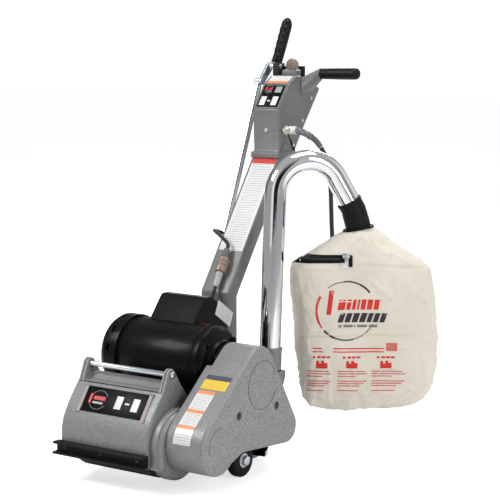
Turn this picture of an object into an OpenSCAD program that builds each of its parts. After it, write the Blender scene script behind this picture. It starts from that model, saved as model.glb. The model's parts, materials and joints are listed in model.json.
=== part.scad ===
// Walk-behind floor drum sander: a belt-driven abrasive drum under a cast housing, with a motor on top,
// a dust blower and bag, and a lever on the handle that lowers the drum. Millimetres, +Z up, front is -Y.

/* [Drum] */
// Diameter over the abrasive
drum_d = 152; // [146:1:156]
// Width of the drum face
drum_w = 203; // [190:1:206]
// Gap under the drum while the wheels hold it off the floor
drum_lift = 20; // [16:1:22]

/* [Wheels] */
// Diameter of the two transport wheels
wheel_d = 76; // [70:1:80]
// Width of a wheel
wheel_w = 25; // [20:1:26]
// Diameter of the rear caster wheel
caster_d = 56; // [50:1:58]

/* [Motor] */
// Diameter of the motor frame
motor_d = 165; // [158:1:167]
// Height of the motor shaft above the floor
motor_z = 249; // [248:1:252]

/* [Drive] */
// Pitch radius of the motor pulley
motor_pulley_r = 30; // [26:1:34]
// Pitch radius of the drum pulley
drum_pulley_r = 42; // [38:1:43]
// Pitch radius of the blower pulley
fan_pulley_r = 15; // [13:1:18]

/* [Dust pipe] */
// Outer diameter of the chrome pipe
pipe_d = 50.8; // [48:0.1:52]
// Radius of its arch, to the middle of the pipe
arch_r = 80; // [76:1:84]
// Angle that the arch turns through
arch_turn = 148; // [140:1:152]

/* [Handle] */
// Width of the handle tube
handle_w = 80; // [76:1:82]
// Front-to-back thickness of the handle tube
handle_t = 38; // [36:1:40]

/* [Hidden] */
$fn = 64;
hull_fn = 32;

// Running clearance round a shaft, and the gap between parts of different bodies
run = 0.05;
gap = 0.3;

// The machine's own middle, which the part's origin stands under: wheel axle at y = 0, drum centred on x = 0
mid_x = 125.4;
mid_y = 155.5;

// Drum
drum_r = drum_d / 2;
drum_y = -153;
drum_z = drum_r + drum_lift;
drum_shaft_r = 12.5;
sleeve_t = 3;

// Drum housing: outline in the y-z plane, anticlockwise
housing_half = 120;
housing_wall = 6;
housing_outline = [
    [-60, 58], [-60, 150], [40, 150], [40, 158], [-72, 158], [-84, 176], [-112, 214], [-128, 228],
    [-150, 226], [-160, 216], [-182, 214], [-197, 197], [-218, 169], [-234, 142], [-241, 116], [-242, 58]];
chamber_outline = [
    [-66, 50], [-66, 152], [-76, 154], [-89, 172], [-116, 208], [-129, 222], [-147, 220], [-158, 210],
    [-179, 208], [-192, 193], [-212, 166], [-228, 140], [-235, 115], [-236, 50]];
ear_y = -152;
ear_z = 248;
ear_r = 13;
rod_r = 6;
panel_low = [-224, 158];
panel_high = [-190, 206];

// Belt guard: three lobes as [y, z, radius], over the drum, the blower and the motor pulleys
front_lobe = [-150, 107, 64];
rear_lobe = [113, 98, 38];
top_lobe = [4, motor_z - 1, 52];
guard_x0 = 163;
guard_x1 = 248;
guard_wall = 4;
guard_front_x0 = 149;
guard_bolt_at = [[-81, 161], [65, 156]];

// Motor
motor_r = motor_d / 2;
motor_y = 4;
motor_x0 = -95;
motor_x1 = 110;
shaft_r = 10;

// Blower
fan_y = 113;
fan_z = 98;
volute_r = 87;
volute_x0 = 60;
volute_x1 = 159;
volute_wall = 4;
fan_shaft_r = 8;
eye_r = 34;

// Belt plane
belt_x = 218;
belt_w = 9;
belt_t = 7;
belt_pitch = 13.5;

// Chrome pipe: foot, lean to the back, and the compass turn of the arch's plane from +x towards +y
pipe_r = pipe_d / 2;
pipe_wall = 1.5;
pipe_foot = [130, 211, 214];
pipe_lean = 3.5;
pipe_straight = 397;
arch_yaw = 50;
leg_len = 85;
pipe_up = [0, sin(pipe_lean), cos(pipe_lean)];
pipe_out = [cos(arch_yaw), sin(arch_yaw) * cos(pipe_lean), -sin(arch_yaw) * sin(pipe_lean)];
arch_end = pipe_foot + pipe_up * (pipe_straight + arch_r * sin(arch_turn))
    + pipe_out * arch_r * (1 - cos(arch_turn));
leg_dir = pipe_out * sin(arch_turn) + pipe_up * cos(arch_turn);
leg_end = arch_end + leg_dir * leg_len;

// Rubber cuff: it grips the pipe's end, then turns down towards the bag
cuff_r = 30.5;
cuff_grip = 22;
cuff_past = 2;
cuff_seam = 0.02;
cuff_drop = 36;
cuff_turn = 13;
cuff_dir = pipe_out * sin(arch_turn + cuff_turn) + pipe_up * cos(arch_turn + cuff_turn);
cuff_bend = leg_end + leg_dir * cuff_past;
neck = cuff_bend + cuff_dir * cuff_drop;

// Dust bag: level slices as [drop below the neck, left half-width, right half-width, half-thickness]
bag_yaw = 35;
bag_cloth = 2.5;
bag_slices = [
    [4, 32, 32, 30], [20, 62, 66, 40], [34, 96, 102, 47], [52, 140, 132, 53], [68, 166, 154, 57],
    [96, 170, 174, 61], [168, 166, 183, 65], [265, 153, 187, 63], [338, 146, 186, 56],
    [386, 138, 172, 47], [414, 124, 146, 33], [428, 100, 110, 14]];
bag_square = 2.6;
bag_sides = 28;
zip_drop = 66;
zip_from = -118;
zip_to = -22;
zip_deep = 59.5;
zip_slope = 6;
slider_at = -30;

// Handle: the middle of the tube in the y-z plane
handle_foot = [190, 168];
handle_bend = [190, 371];
handle_top = [430, 711];
handle_wall = 3;

// Head casting: outline in the y-z plane, anticlockwise
head_half = 38;
head_wall = 5;
head_outline = [
    [392, 702], [388, 800], [435, 862], [465, 881], [520, 878], [577, 848], [500, 751], [457, 691], [384, 684]];
head_room = [
    [400, 700], [396, 797], [439, 856], [467, 875], [518, 872], [570, 848], [496, 754], [452, 697]];

// Lift linkage: equal, parallel arms on the lever and on the wheel bracket
lever_pivot = [484, 905];
lift_arm = [-36, -37];
lever_pin = lever_pivot + lift_arm;
bracket_pivot = [77, 95];
bracket_pin = bracket_pivot + lift_arm;
lever_pivot_r = 6;
rod_pin_r = 5;
rod_x = -61;
rod_t = 5;
lever_x = -55.5;
lever_t = 6;
grip_low = [515, 912];
grip_high = [563, 1013];
grip_r = 13;
bracket_shaft_r = 10;

// Wheels and axle
wheel_r = wheel_d / 2;
axle = [0, wheel_r];
axle_r = 8;
wheel_x = 180;
left_wheel_x = -165;
caster_r = caster_d / 2;
caster_y = 215;
caster_trail = 20;
caster_stem_r = 8;
caster_axle_r = 5;

// Power cord: it leaves the gland on the head's right side and hangs behind the pipe and the bag
cord_r = 5.25;
gland_at = [head_half, 410, 750];
relief_route = [[62, 410, 750], [76, 411, 750], [90, 415, 746], [104, 422, 738], [117, 431, 726], [128, 438, 710]];
cord_route = [
    [128.5, 438.4, 708.8], [136, 443, 692], [141, 446, 672], [145, 448, 650], [148, 449, 626], [150, 450, 600],
    [151, 450, 574], [152, 450, 548], [153, 450, 522], [154, 451, 496], [155, 451, 470], [156, 452, 444],
    [157, 452, 418], [158, 453, 392], [158, 453, 366], [159, 454, 340], [159, 454, 314], [160, 455, 288],
    [160, 455, 262], [160, 455, 236], [160, 455, 212]];
plug_r = 17;
plug_len = 42;
plug_at = cord_route[len(cord_route) - 1];
ground_pin_r = 2.4;
pin_len = 20;

// Control cable on the handle: out of the tube's left wall, over to the front, and into the connector
cable_r = 4.2;
cable_route = [
    [-40, 278, 500], [-50, 277, 503], [-57, 266, 508], [-55, 250, 512], [-44, 236, 512], [-28, 229, 506],
    [-15, 228, 497], [-5, 228.5, 489], [1.4, 225.6, 480.7], [1.99, 221.1, 474.2]];
connector_top = [2, 221, 474];
connector_end = [9, 163, 390];
lead_route = [
    [9, 162.9, 389.8], [9.5, 158.5, 383.4], [9, 155, 376], [8, 152, 367], [6, 147, 356], [4, 138, 348.5], [3, 127, 347]];

// ---- colours ----
cast_grey = [0.62, 0.63, 0.64];
dark_grey = [0.36, 0.37, 0.38];
black = [0.05, 0.05, 0.055];
zinc = [0.74, 0.79, 0.82];
steel = [0.6, 0.6, 0.62];
chrome = [0.86, 0.87, 0.89];
canvas = [0.9, 0.87, 0.78];

// ---- helpers ----
// Machine frame to the part's frame, whose origin is on the floor under the middle of the outline
module placed() {
    translate([-mid_x, -mid_y, 0]) children();
}

// A flat y-z outline given thickness w along x, from x0
module along_x(x0, w) {
    translate([x0, 0, 0]) rotate([90, 0, 90]) linear_extrude(w) children();
}

// A cylinder along x from x0, centred on at = [y, z]
module rod_x(x0, w, r, at, sides = 64) {
    translate([x0, at[0], at[1]]) rotate([0, 90, 0]) cylinder(h = w, r = r, $fn = sides);
}

// A turned body whose profile is [radius, x], centred on at = [y, z]
module turned_x(at, profile) {
    translate([0, at[0], at[1]]) rotate([90, 0, 90]) rotate_extrude() polygon(profile);
}

module ring_x(x0, w, r_out, r_in, at) {
    difference() {
        rod_x(x0, w, r_out, at);
        rod_x(x0 - 1, w + 2, r_in, at);
    }
}

// A hexagon head along x with a shank behind it; side = 1 points the head to +x
module bolt_x(x, at, head_r, head_h, shank_r, shank_len, side = 1) {
    rod_x(side > 0 ? x : x - head_h, head_h, head_r, at, 6);
    rod_x(side > 0 ? x - shank_len : x, shank_len, shank_r, at);
}

function arc(c, r, from, to, n) = [for (i = [0:n]) c + r * [cos(from + (to - from) * i / n), sin(from + (to - from) * i / n)]];

// Outward direction, in degrees, of the tangent line that runs anticlockwise from circle a to circle b
function tangent(a, b) = let (d = [b[0] - a[0], b[1] - a[1]]) atan2(d[1], d[0]) - acos((a[2] - b[2]) / norm(d));

// Anticlockwise outline round a list of circles [y, z, r], each grown by extra
function loop_round(c, extra = 0, n = 14) = [for (i = [0:len(c) - 1]) let (
    from = tangent(c[(i + len(c) - 1) % len(c)], c[i]),
    to = tangent(c[i], c[(i + 1) % len(c)]),
    turn = (to - from + 720) % 360)
    each arc([c[i][0], c[i][1]], c[i][2] + extra, from, from + turn, n)];

function unit(v) = v / norm(v);

// Outline of a strip of constant width along a path, with mitred corners
function strip_side(p, w) = [for (i = [0:len(p) - 1]) let (
    a = i == 0 ? unit(p[1] - p[0]) : unit(p[i] - p[i - 1]),
    b = i == len(p) - 1 ? a : unit(p[i + 1] - p[i]),
    m = [-a[1] - b[1], a[0] + b[0]])
    p[i] + m * w / (1 + a * b)];
function reversed(p) = [for (i = [len(p) - 1:-1:0]) p[i]];
function strip(p, w) = concat(strip_side(p, -w / 2), reversed(strip_side(p, w / 2)));

// Rings of points, each with the same count, closed into a solid
module skin(rings) {
    n = len(rings[0]);
    last = len(rings) - 1;
    polyhedron(
        points = [for (r = rings) each r],
        faces = concat(
            [[for (j = [0:n - 1]) j]],
            [for (i = [0:last - 1], j = [0:n - 1], far = [0, 1])
                [i * n + j, (i + 1) * n + (j + far) % n, (i + 1 - far) * n + (j + 1) % n]],
            [reversed([for (j = [0:n - 1]) last * n + j])]),
        convexity = 4);
}

// A round tube swept along a route; ref is any direction that the route never follows
function sweep_rings(route, r0, r1, sides, ref) = [for (i = [0:len(route) - 1]) let (
    t = unit(route[min(i + 1, len(route) - 1)] - route[max(i - 1, 0)]),
    u = unit(cross(ref, t)),
    v = cross(t, u),
    r = r0 + (r1 - r0) * i / (len(route) - 1))
    [for (j = [0:sides - 1]) route[i] + r * (u * cos(360 * j / sides) + v * sin(360 * j / sides))]];

module sweep(route, r0, r1, sides = 10, ref = [0, 1, 0]) {
    skin(sweep_rings(route, r0, r1, sides, ref));
}

// A cylinder from point a to point b
module between(a, b, r0, r1) {
    d = b - a;
    translate(a) rotate([0, acos(d[2] / norm(d)), atan2(d[1], d[0])]) cylinder(h = norm(d), r1 = r0, r2 = r1);
}

// ---- chassis ----
// Two plates with a recessed web between them: [from, width, recess]
module housing_ear(x0) {
    for (p = [[0, 5.5, 0], [5.5, 3, 2.5], [8.5, 5.5, 0]]) along_x(x0 + p[0], p[1]) hull() {
        translate([ear_y, ear_z]) circle(ear_r - p[2], $fn = hull_fn);
        polygon([[-182 + p[2], 212], [-118 - p[2], 212], [-118 - p[2], 220]]);
    }
}

module drum_housing() {
    color(cast_grey) placed() difference() {
        union() {
            along_x(-housing_half, 2 * housing_half) polygon(housing_outline);
            for (x = [-housing_half, housing_half - 14]) housing_ear(x);
        }
        along_x(-housing_half + housing_wall, 2 * (housing_half - housing_wall)) polygon(chamber_outline);
        // Bearing openings in both end walls, and the bores of the cross rod
        rod_x(-housing_half - 1, 2 * housing_half + 2, 30, [drum_y, drum_z]);
        rod_x(-housing_half - 1, 16, rod_r, [ear_y, ear_z]);
        rod_x(housing_half - 15, 16, rod_r, [ear_y, ear_z]);
        // Way out for dust
        translate([14, -70, 114]) cube([44, 20, 32]);
    }
}

// An end cover for the drum: round over the shaft, straight down to the housing's lower edge
module end_arch(x0, w, r) {
    along_x(x0, w) union() {
        translate([drum_y, drum_z + 2]) circle(r);
        translate([drum_y - r, 56]) square([2 * r, drum_z + 2 - 56]);
    }
}

module left_side_cover() {
    color(cast_grey) placed() difference() {
        union() {
            end_arch(-128, 128 - housing_half - gap, 72);
            rod_x(-140, 20, 34, [drum_y, drum_z]);
        }
        rod_x(-134, 20, 26, [drum_y, drum_z]);
        rod_x(-141, 10, drum_shaft_r + 1, [drum_y, drum_z]);
        for (k = cover_screw_at) rod_x(-130, 12, 3, k);
    }
}

cover_screw_at = [for (a = [30:60:330]) if (a != 270) [drum_y + 60 * cos(a), drum_z + 60 * sin(a)]];

// Small pan-head screws: round the left cover, and in the head casting
module cover_screws() {
    color(zinc) placed() {
        for (k = cover_screw_at) bolt_x(-128, k, 6, 4, 2.9, 7, -1);
        for (k = head_screw_at) rod_x(head_half, 2.5, 4.5, k);
        translate([0, 390.04, 750]) rotate([90 + atan2(4, 98), 0, 0]) cylinder(h = 2.5, r = 4.5);
    }
}

module side_bearing_housing() {
    color(cast_grey) placed() difference() {
        union() {
            end_arch(housing_half + gap, 20, 78);
            end_arch(housing_half + 20, 8.4, 73);
        }
        // Hollow round the hub
        difference() {
            end_arch(housing_half - 1, 22, 72);
            rod_x(housing_half, 30, 34, [drum_y, drum_z]);
        }
        rod_x(housing_half - 1, 22, 26, [drum_y, drum_z]);
        rod_x(housing_half, 40, drum_shaft_r + 1, [drum_y, drum_z]);
    }
}

module front_bumper() {
    color(black) placed() difference() {
        along_x(-126, 252) polygon([
            [-242.2, 62], [-242.2, 90], [-262, 90], [-264, 88], [-264, 85], [-250, 84],
            [-250, 68], [-266, 67], [-266, 64], [-264, 62]]);
        for (x = bumper_screw_x) translate([x, -240, 76]) rotate([90, 0, 0]) cylinder(h = 20, r = 2.6);
    }
}

bumper_screw_x = [-100, 0, 100];

module bumper_screws() {
    color(steel) placed() for (x = bumper_screw_x) {
        translate([x, -242.5, 76]) rotate([90, 0, 0]) cylinder(h = 7.5, r = 2.5);
        translate([x, -250, 76]) rotate([90, 0, 0]) cylinder(h = 3, r1 = 5, r2 = 3.5);
    }
}

module cross_rod() {
    color(zinc) placed() {
        rod_x(-housing_half, 2 * housing_half, rod_r, [ear_y, ear_z]);
        for (side = [-1, 1]) bolt_x(side * housing_half, [ear_y, ear_z], 8, 5, 4, 1, side);
    }
}

module name_panel() {
    slope = atan2(panel_high[1] - panel_low[1], panel_high[0] - panel_low[0]);
    len = norm(panel_high - panel_low);
    color(black) placed() translate([0, panel_low[0], panel_low[1]]) rotate([slope, 0, 0])
        translate([-77, 0, 1.6]) cube([166, len, 1.4]);
}

// ---- belt guard and drive ----
function guard_outline(w = 0) = let (
    down = tangent(top_lobe, front_lobe) + 360,
    up = tangent(rear_lobe, top_lobe))
    concat(
        arc([front_lobe[0], front_lobe[1]], front_lobe[2] - w, down, 312, 20),
        [[-88 + w / 2, 66 + w], [-62 + w / 2, 75 + w]],
        arc([rear_lobe[0], rear_lobe[1]], rear_lobe[2] - w, 266, 360 + up, 14),
        arc([top_lobe[0], top_lobe[1]], top_lobe[2] - w, up, down, 14));

module belt_guard() {
    color(cast_grey) placed() difference() {
        union() {
            along_x(guard_x0, guard_x1 - guard_x0) polygon(guard_outline());
            // The front lobe reaches further in, up to the drum's bearing housing
            along_x(guard_front_x0, 20) intersection() {
                polygon(guard_outline());
                translate([-260, 0]) square([210, 258]);
            }
        }
        difference() {
            along_x(guard_front_x0 - 1, guard_x1 - guard_wall - guard_front_x0 + 1) polygon(guard_outline(guard_wall));
            for (k = guard_bolt_at) rod_x(204, 60, 13, k);
        }
        for (k = guard_bolt_at) {
            rod_x(208, 60, 9, k);
            rod_x(200, 20, 4.2, k);
        }
        // Well for the transport wheel
        translate([wheel_x - 6, -58, 50]) cube([wheel_w + 17, 104, 40]);
    }
}

module case_bolts() {
    color(zinc) placed() {
        for (k = guard_bolt_at) bolt_x(208, k, 7, 6, 4, 46);
        for (k = lug_at) bolt_x(volute_x1, k, 6, 4, 3, 16);
    }
}

module guard_plate() {
    color(black) placed() difference() {
        union() {
            along_x(159.6, 3) polygon(guard_outline(guard_wall + 1.2));
            along_x(150.4, 12) intersection() {
                polygon(guard_outline(3));
                translate([-44, 210]) square([140, 110]);
            }
        }
        rod_x(140, 30, 30, [drum_y, drum_z]);
        rod_x(140, 30, 30, [fan_y, fan_z]);
        rod_x(140, 30, 24, [motor_y, motor_z]);
        for (k = guard_bolt_at) rod_x(140, 30, 4.2, k);
    }
}

// A vee pulley on its bored hub, centred on the belt's plane
module pulley(at, pitch_r, bore_r, x = belt_x) {
    half = belt_w / 2 + 2.2;
    translate([x, 0, 0]) difference() {
        turned_x(at, [
            [0, -half], [pitch_r + 4, -half], [pitch_r + 4, -belt_w / 2], [pitch_r - 4, -belt_w / 2 + 2],
            [pitch_r - 4, belt_w / 2 - 2], [pitch_r + 4, belt_w / 2], [pitch_r + 4, half], [0, half]]);
        rod_x(-20, 40, bore_r, at);
    }
}

drum_loop = [[drum_y, drum_z, drum_pulley_r], [motor_y, motor_z, motor_pulley_r]];
fan_loop = [[fan_y, fan_z, fan_pulley_r], [motor_y, motor_z, motor_pulley_r]];

module belt(x, circles) {
    along_x(x - belt_w / 2 + 2.6, belt_w - 5.2) difference() {
        polygon(loop_round(circles, belt_t - 2.5));
        polygon(loop_round(circles, -2.5));
    }
}

// Two belts on the motor's double pulley: one down to the drum, one to the blower
module drive_belt() {
    color(black) placed() {
        belt(belt_x, drum_loop);
        belt(belt_x + belt_pitch, fan_loop);
    }
}

module motor_pulley() {
    color(steel) placed() for (x = [belt_x, belt_x + belt_pitch]) pulley([motor_y, motor_z], motor_pulley_r, shaft_r, x);
}

module drum_pulley() {
    color(steel) placed() pulley([drum_y, drum_z], drum_pulley_r, drum_shaft_r);
}

module blower_pulley() {
    color(steel) placed() pulley([fan_y, fan_z], fan_pulley_r, fan_shaft_r, belt_x + belt_pitch);
}

// ---- motor ----
module motor_frame() {
    color(black) placed() ring_x(motor_x0, motor_x1 - motor_x0, motor_r, motor_r - 5, [motor_y, motor_z]);
}

motor_bolt_at = [for (a = [45:90:315]) [motor_y + 67 * cos(a), motor_z + 67 * sin(a)]];

module drive_end_bell() {
    x = motor_x1 + gap;
    color(black) placed() difference() {
        turned_x([motor_y, motor_z], [
            [shaft_r + 1, x + 38], [50, x + 38], [54, x + 30], [72, x + 27], [motor_r, x + 16], [motor_r, x],
            [motor_r - 6, x], [motor_r - 7, x + 14], [68, x + 21], [50, x + 24], [28, x + 24], [28, x + 4],
            [21, x + 4], [21, x + 30], [shaft_r + 1, x + 30]]);
        for (k = motor_bolt_at) rod_x(x, 40, 3.2, k);
    }
}

module rear_end_bell() {
    x = motor_x0 - gap;
    color(black) placed() turned_x([motor_y, motor_z], [
        [21, x], [28, x], [28, x - 8], [motor_r - 5, x - 8], [motor_r - 5, x], [motor_r, x],
        [motor_r, x - 14], [28, x - 14], [28, x - 16], [shaft_r + 1, x - 16], [shaft_r + 1, x - 13], [21, x - 13]]);
}

module motor_bolts() {
    color(steel) placed() for (k = motor_bolt_at) bolt_x(motor_x1 + 29.4, k, 6, 5, 3, 24);
}

module fan_cover() {
    x = -150;
    r = motor_r + 5.5;
    color(black) placed() difference() {
        turned_x([motor_y, motor_z], [
            [0, x], [58, x], [r - 8, x + 7], [r, x + 20], [r, -96], [r - 3, -96],
            [r - 3, x + 21], [r - 10, x + 10], [57, x + 3], [0, x + 3]]);
        // Air slots in the end, and the row of vents round the rim
        for (z = [-42:12:42]) translate([x - 2, motor_y - 34, motor_z + z - 2.5]) cube([8, 68, 5]);
        for (a = [15:30:345]) translate([0, motor_y, motor_z]) rotate([a, 0, 0])
            translate([-122, r - 6, -8]) cube([6, 12, 16]);
    }
}

module capacitor_box() {
    color(black) placed() difference() {
        along_x(-64, 130) difference() {
            polygon([[-8, 318], [44, 380], [50, 385], [70, 385], [146, 338], [146, 322], [92, 258], [4, 300]]);
            translate([motor_y, motor_z]) circle(motor_r + gap);
        }
        along_x(-61, 124) difference() {
            polygon([[1, 320], [46, 375], [53, 381], [68, 381], [142, 336], [142, 324], [96, 270], [4, 304]]);
            translate([motor_y, motor_z]) circle(motor_r + 4);
        }
        // Entry of the motor lead
        translate([3.4, 150, 347.6]) rotate([90, 0, 0]) cylinder(h = 30, r = cable_r + 1.6);
    }
}

module motor_base() {
    color(black) placed() along_x(-60, 110) difference() {
        polygon([[-48, 158.2], [56, 158.2], [56, 166], [42, 178], [-34, 178], [-48, 166]]);
        translate([motor_y, motor_z]) circle(motor_r + 0.1);
        translate([-20, 158]) square([48, 3]);
    }
}

module stator() {
    color(steel) placed() ring_x(-58, 124, 59, 44, [motor_y, motor_z]);
}

module motor_rotor() {
    color(steel) placed() {
        rod_x(-138, 138 + belt_x + belt_pitch + 8, shaft_r, [motor_y, motor_z]);
        ring_x(-50, 108, 43, shaft_r, [motor_y, motor_z]);
    }
}

module cooling_fan() {
    at = [motor_y, motor_z];
    color(black) placed() {
        ring_x(-137, 16, 18, shaft_r, at);
        ring_x(-124, 3, 60, 17, at);
        for (a = [0:45:315]) translate([0, at[0], at[1]]) rotate([a, 0, 0]) translate([-137, 17, -1.5]) cube([13.5, 42, 3]);
    }
}

// ---- drum ----
module drum() {
    color(steel) placed() {
        at = [drum_y, drum_z];
        ring_x(-drum_w / 2, drum_w, drum_r - sleeve_t, drum_r - sleeve_t - 10, at);
        for (x = [-drum_w / 2 + 6, drum_w / 2 - 16]) ring_x(x, 10, drum_r - sleeve_t - 9.5, drum_shaft_r, at);
    }
}

module sanding_sleeve() {
    color(black) placed() ring_x(-drum_w / 2 + 1, drum_w - 2, drum_r, drum_r - sleeve_t, [drum_y, drum_z]);
}

module drum_shaft() {
    color(steel) placed() rod_x(-136, 136 + belt_x + 12, drum_shaft_r, [drum_y, drum_z]);
}

// Ball bearings, drawn as plain rings: two for the drum, two for the motor, one for the blower
module shaft_bearings() {
    color(steel) placed() {
        ring_x(-133.8, 13, 25.9, drum_shaft_r + run, [drum_y, drum_z]);
        ring_x(127, 13.5, 25.9, drum_shaft_r + run, [drum_y, drum_z]);
        ring_x(motor_x0 - 13, 12.5, 20.9, shaft_r + run, [motor_y, motor_z]);
        ring_x(motor_x1 + 15, 14, 20.9, shaft_r + run, [motor_y, motor_z]);
        ring_x(volute_x1 - 15, 12.5, 17.9, fan_shaft_r + run, [fan_y, fan_z]);
    }
}

// ---- blower and dust path ----
// The scroll, with its outlet rising at the back; w shrinks it to the inside
module volute_shape(w) {
    translate([fan_y, fan_z]) circle(volute_r - w);
    polygon([
        [fan_y, fan_z + 30], [fan_y + volute_r - w, fan_z - 4], [fan_y + volute_r + 14 - w, fan_z + 30],
        [238 - w, 180], [238 - w, 196], [184 + w, 196], [170 + w, 160], [fan_y, 170]]);
}

lug_at = [for (a = [-65, -20, 25, 215]) [fan_y + 92 * cos(a), fan_z + 92 * sin(a)]];

module blower_housing() {
    at = [fan_y, fan_z];
    color(cast_grey) placed() difference() {
        union() {
            along_x(volute_x0, volute_x1 - volute_x0) volute_shape(0);
            for (k = lug_at) rod_x(volute_x1 - 30, 30, 8, k);
        }
        difference() {
            along_x(volute_x0 + volute_wall, volute_x1 - volute_x0 - 2 * volute_wall) volute_shape(volute_wall);
            rod_x(volute_x1 - 15, 20, 24, at);
        }
        rod_x(volute_x0 - 1, 10, eye_r, at);
        rod_x(volute_x1 - 30, 28, 18, at);
        rod_x(volute_x1 - 10, 20, fan_shaft_r + 1, at);
        for (k = lug_at) rod_x(volute_x1 - 18, 20, 3.1, k);
        // Outlet into the pipe collar
        translate([pipe_foot[0], pipe_foot[1] - 1, 190]) cylinder(h = 20, r = 22);
    }
}

module blower_wheel() {
    at = [fan_y, fan_z];
    color(steel) placed() {
        rod_x(80, belt_x + belt_pitch + 8 - 80, fan_shaft_r, at);
        ring_x(84, 46, 15, fan_shaft_r, at);
        ring_x(126, 4, 72, 14.5, at);
        for (a = [0:45:315]) translate([0, at[0], at[1]]) rotate([a, 0, 0]) translate([86, 14.5, -1.5]) cube([40.5, 57, 3]);
    }
}

// Flat duct from the drum chamber to the blower's eye
module suction_duct() {
    color(cast_grey) placed() difference() {
        translate([12, -59.8, 112]) cube([47.8, 209, 33.8]);
        translate([16, -70, 116]) cube([40, 215, 26]);
        translate([50, 88, 116]) cube([20, 50, 16]);
    }
}

module at_pipe_foot() {
    translate(pipe_foot) rotate([-pipe_lean, 0, 0]) children();
}

module pipe_collar() {
    color(cast_grey) placed() at_pipe_foot() difference() {
        union() {
            translate([0, 0, -16.5]) cylinder(h = 54.5, r = pipe_r + 3.2);
            translate([0, 0, 30]) cylinder(h = 8, r = pipe_r + 4.6);
        }
        translate([0, 0, -20]) cylinder(h = 80, r = pipe_r + 0.1);
        translate([-50, -50, -40]) rotate([pipe_lean, 0, 0]) cube([100, 100, 21.9]);
    }
}

module pipe_run(len) {
    translate([arch_r, 0, 0]) rotate([-90, 0, 0]) difference() {
        cylinder(h = len, r = pipe_r);
        translate([0, 0, -1]) cylinder(h = len + 2, r = pipe_r - pipe_wall);
    }
}

// Seen in the arch's own plane: riser, arch, and the leg down to the cuff
module dust_pipe() {
    color(chrome) placed() at_pipe_foot() rotate([0, 0, arch_yaw])
        translate([arch_r, 0, pipe_straight]) rotate([-90, 0, 0]) rotate([0, 0, 180]) {
            translate([0, -pipe_straight, 0]) pipe_run(pipe_straight);
            rotate_extrude(angle = arch_turn) translate([arch_r, 0]) difference() {
                circle(pipe_r);
                circle(pipe_r - pipe_wall);
            }
            rotate([0, 0, arch_turn]) pipe_run(leg_len);
        }
}

// A length of cuff along y from y0, cut off square to the direction turn on one side of the bend
module cuff_half(y0, len, turn, side) {
    difference() {
        translate([0, y0, 0]) rotate([-90, 90, 0]) cylinder(h = len, r = cuff_r);
        translate([0, y0 - 1, 0]) rotate([-90, 90, 0]) cylinder(h = len + 2, r = pipe_r + 0.05);
        rotate([0, 0, turn]) translate([-50, side > 0 ? -cuff_seam : cuff_seam - 40, -50]) cube([100, 40, 100]);
    }
}

// Seen in the arch's own plane, like the pipe: the grip and the throat, mitred at the bend
module bag_cuff() {
    color(black) placed() at_pipe_foot() rotate([0, 0, arch_yaw])
        translate([arch_r, 0, pipe_straight]) rotate([-90, 0, 0]) rotate([0, 0, 180])
            rotate([0, 0, arch_turn]) translate([arch_r, leg_len + cuff_past, 0]) {
                cuff_half(-cuff_grip - cuff_past, cuff_grip + cuff_past + 12, cuff_turn / 2, 1);
                rotate([0, 0, cuff_turn]) cuff_half(-12, cuff_drop + 12, -cuff_turn / 2, -1);
            }
}

// One level slice of the bag: a squared oval, wider to one side of the neck than to the other
function bag_slice(s, shrink) = [for (j = [0:bag_sides - 1]) let (
    a = 360 * j / bag_sides,
    c = cos(a),
    q = sin(a),
    half = (c < 0 ? s[1] : s[2]) - shrink,
    across = sign(c) * pow(abs(c), 2 / bag_square) * half,
    deep = sign(q) * pow(abs(q), 2 / bag_square) * (s[3] - shrink))
    [neck[0] + across * cos(bag_yaw) - deep * sin(bag_yaw),
     neck[1] + across * sin(bag_yaw) + deep * cos(bag_yaw),
     neck[2] - s[0]]];

module dust_bag() {
    last = len(bag_slices) - 1;
    color(canvas) placed() difference() {
        skin(reversed([for (s = bag_slices) bag_slice(s, 0)]));
        skin(reversed([for (i = [0:last]) let (s = bag_slices[i])
            bag_slice([i == 0 ? 0 : i == last ? s[0] - bag_cloth : s[0], s[1], s[2], s[3]], bag_cloth)]));
    }
}

// A point on the zipper's line, a distance out in front of the bag's middle
module on_zip(across, deep) {
    translate(neck - [0, 0, zip_drop]) rotate([0, 0, bag_yaw]) translate([across, -deep, 0]) children();
}

module zipper_tape() {
    color(black) placed() on_zip(slider_at, zip_deep) rotate([0, 0, -zip_slope])
        translate([zip_from - slider_at, -1.4, -9]) cube([zip_to - zip_from, 1.4, 18]);
}

module zipper_slider() {
    color(steel) placed() on_zip(slider_at, zip_deep) rotate([0, 0, -zip_slope]) {
        translate([-6, -5.2, -5]) cube([12, 3.4, 10]);
        translate([-2.5, -6.8, -36]) cube([5, 1.6, 36]);
    }
}

// ---- handle ----
module handle_tube() {
    path = [handle_foot, handle_bend, handle_top];
    color(dark_grey) placed() difference() {
        along_x(-handle_w / 2, handle_w) polygon(strip(path, handle_t));
        along_x(-handle_w / 2 + handle_wall, handle_w - 2 * handle_wall)
            polygon(strip([handle_foot - [0, 5], handle_bend, handle_top + unit(handle_top - handle_bend) * 5], handle_t - 2 * handle_wall));
        // Way out for the control cable
        rod_x(-handle_w / 2 - 5, 15, cable_r + 1, [278, 500]);
    }
}

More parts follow.
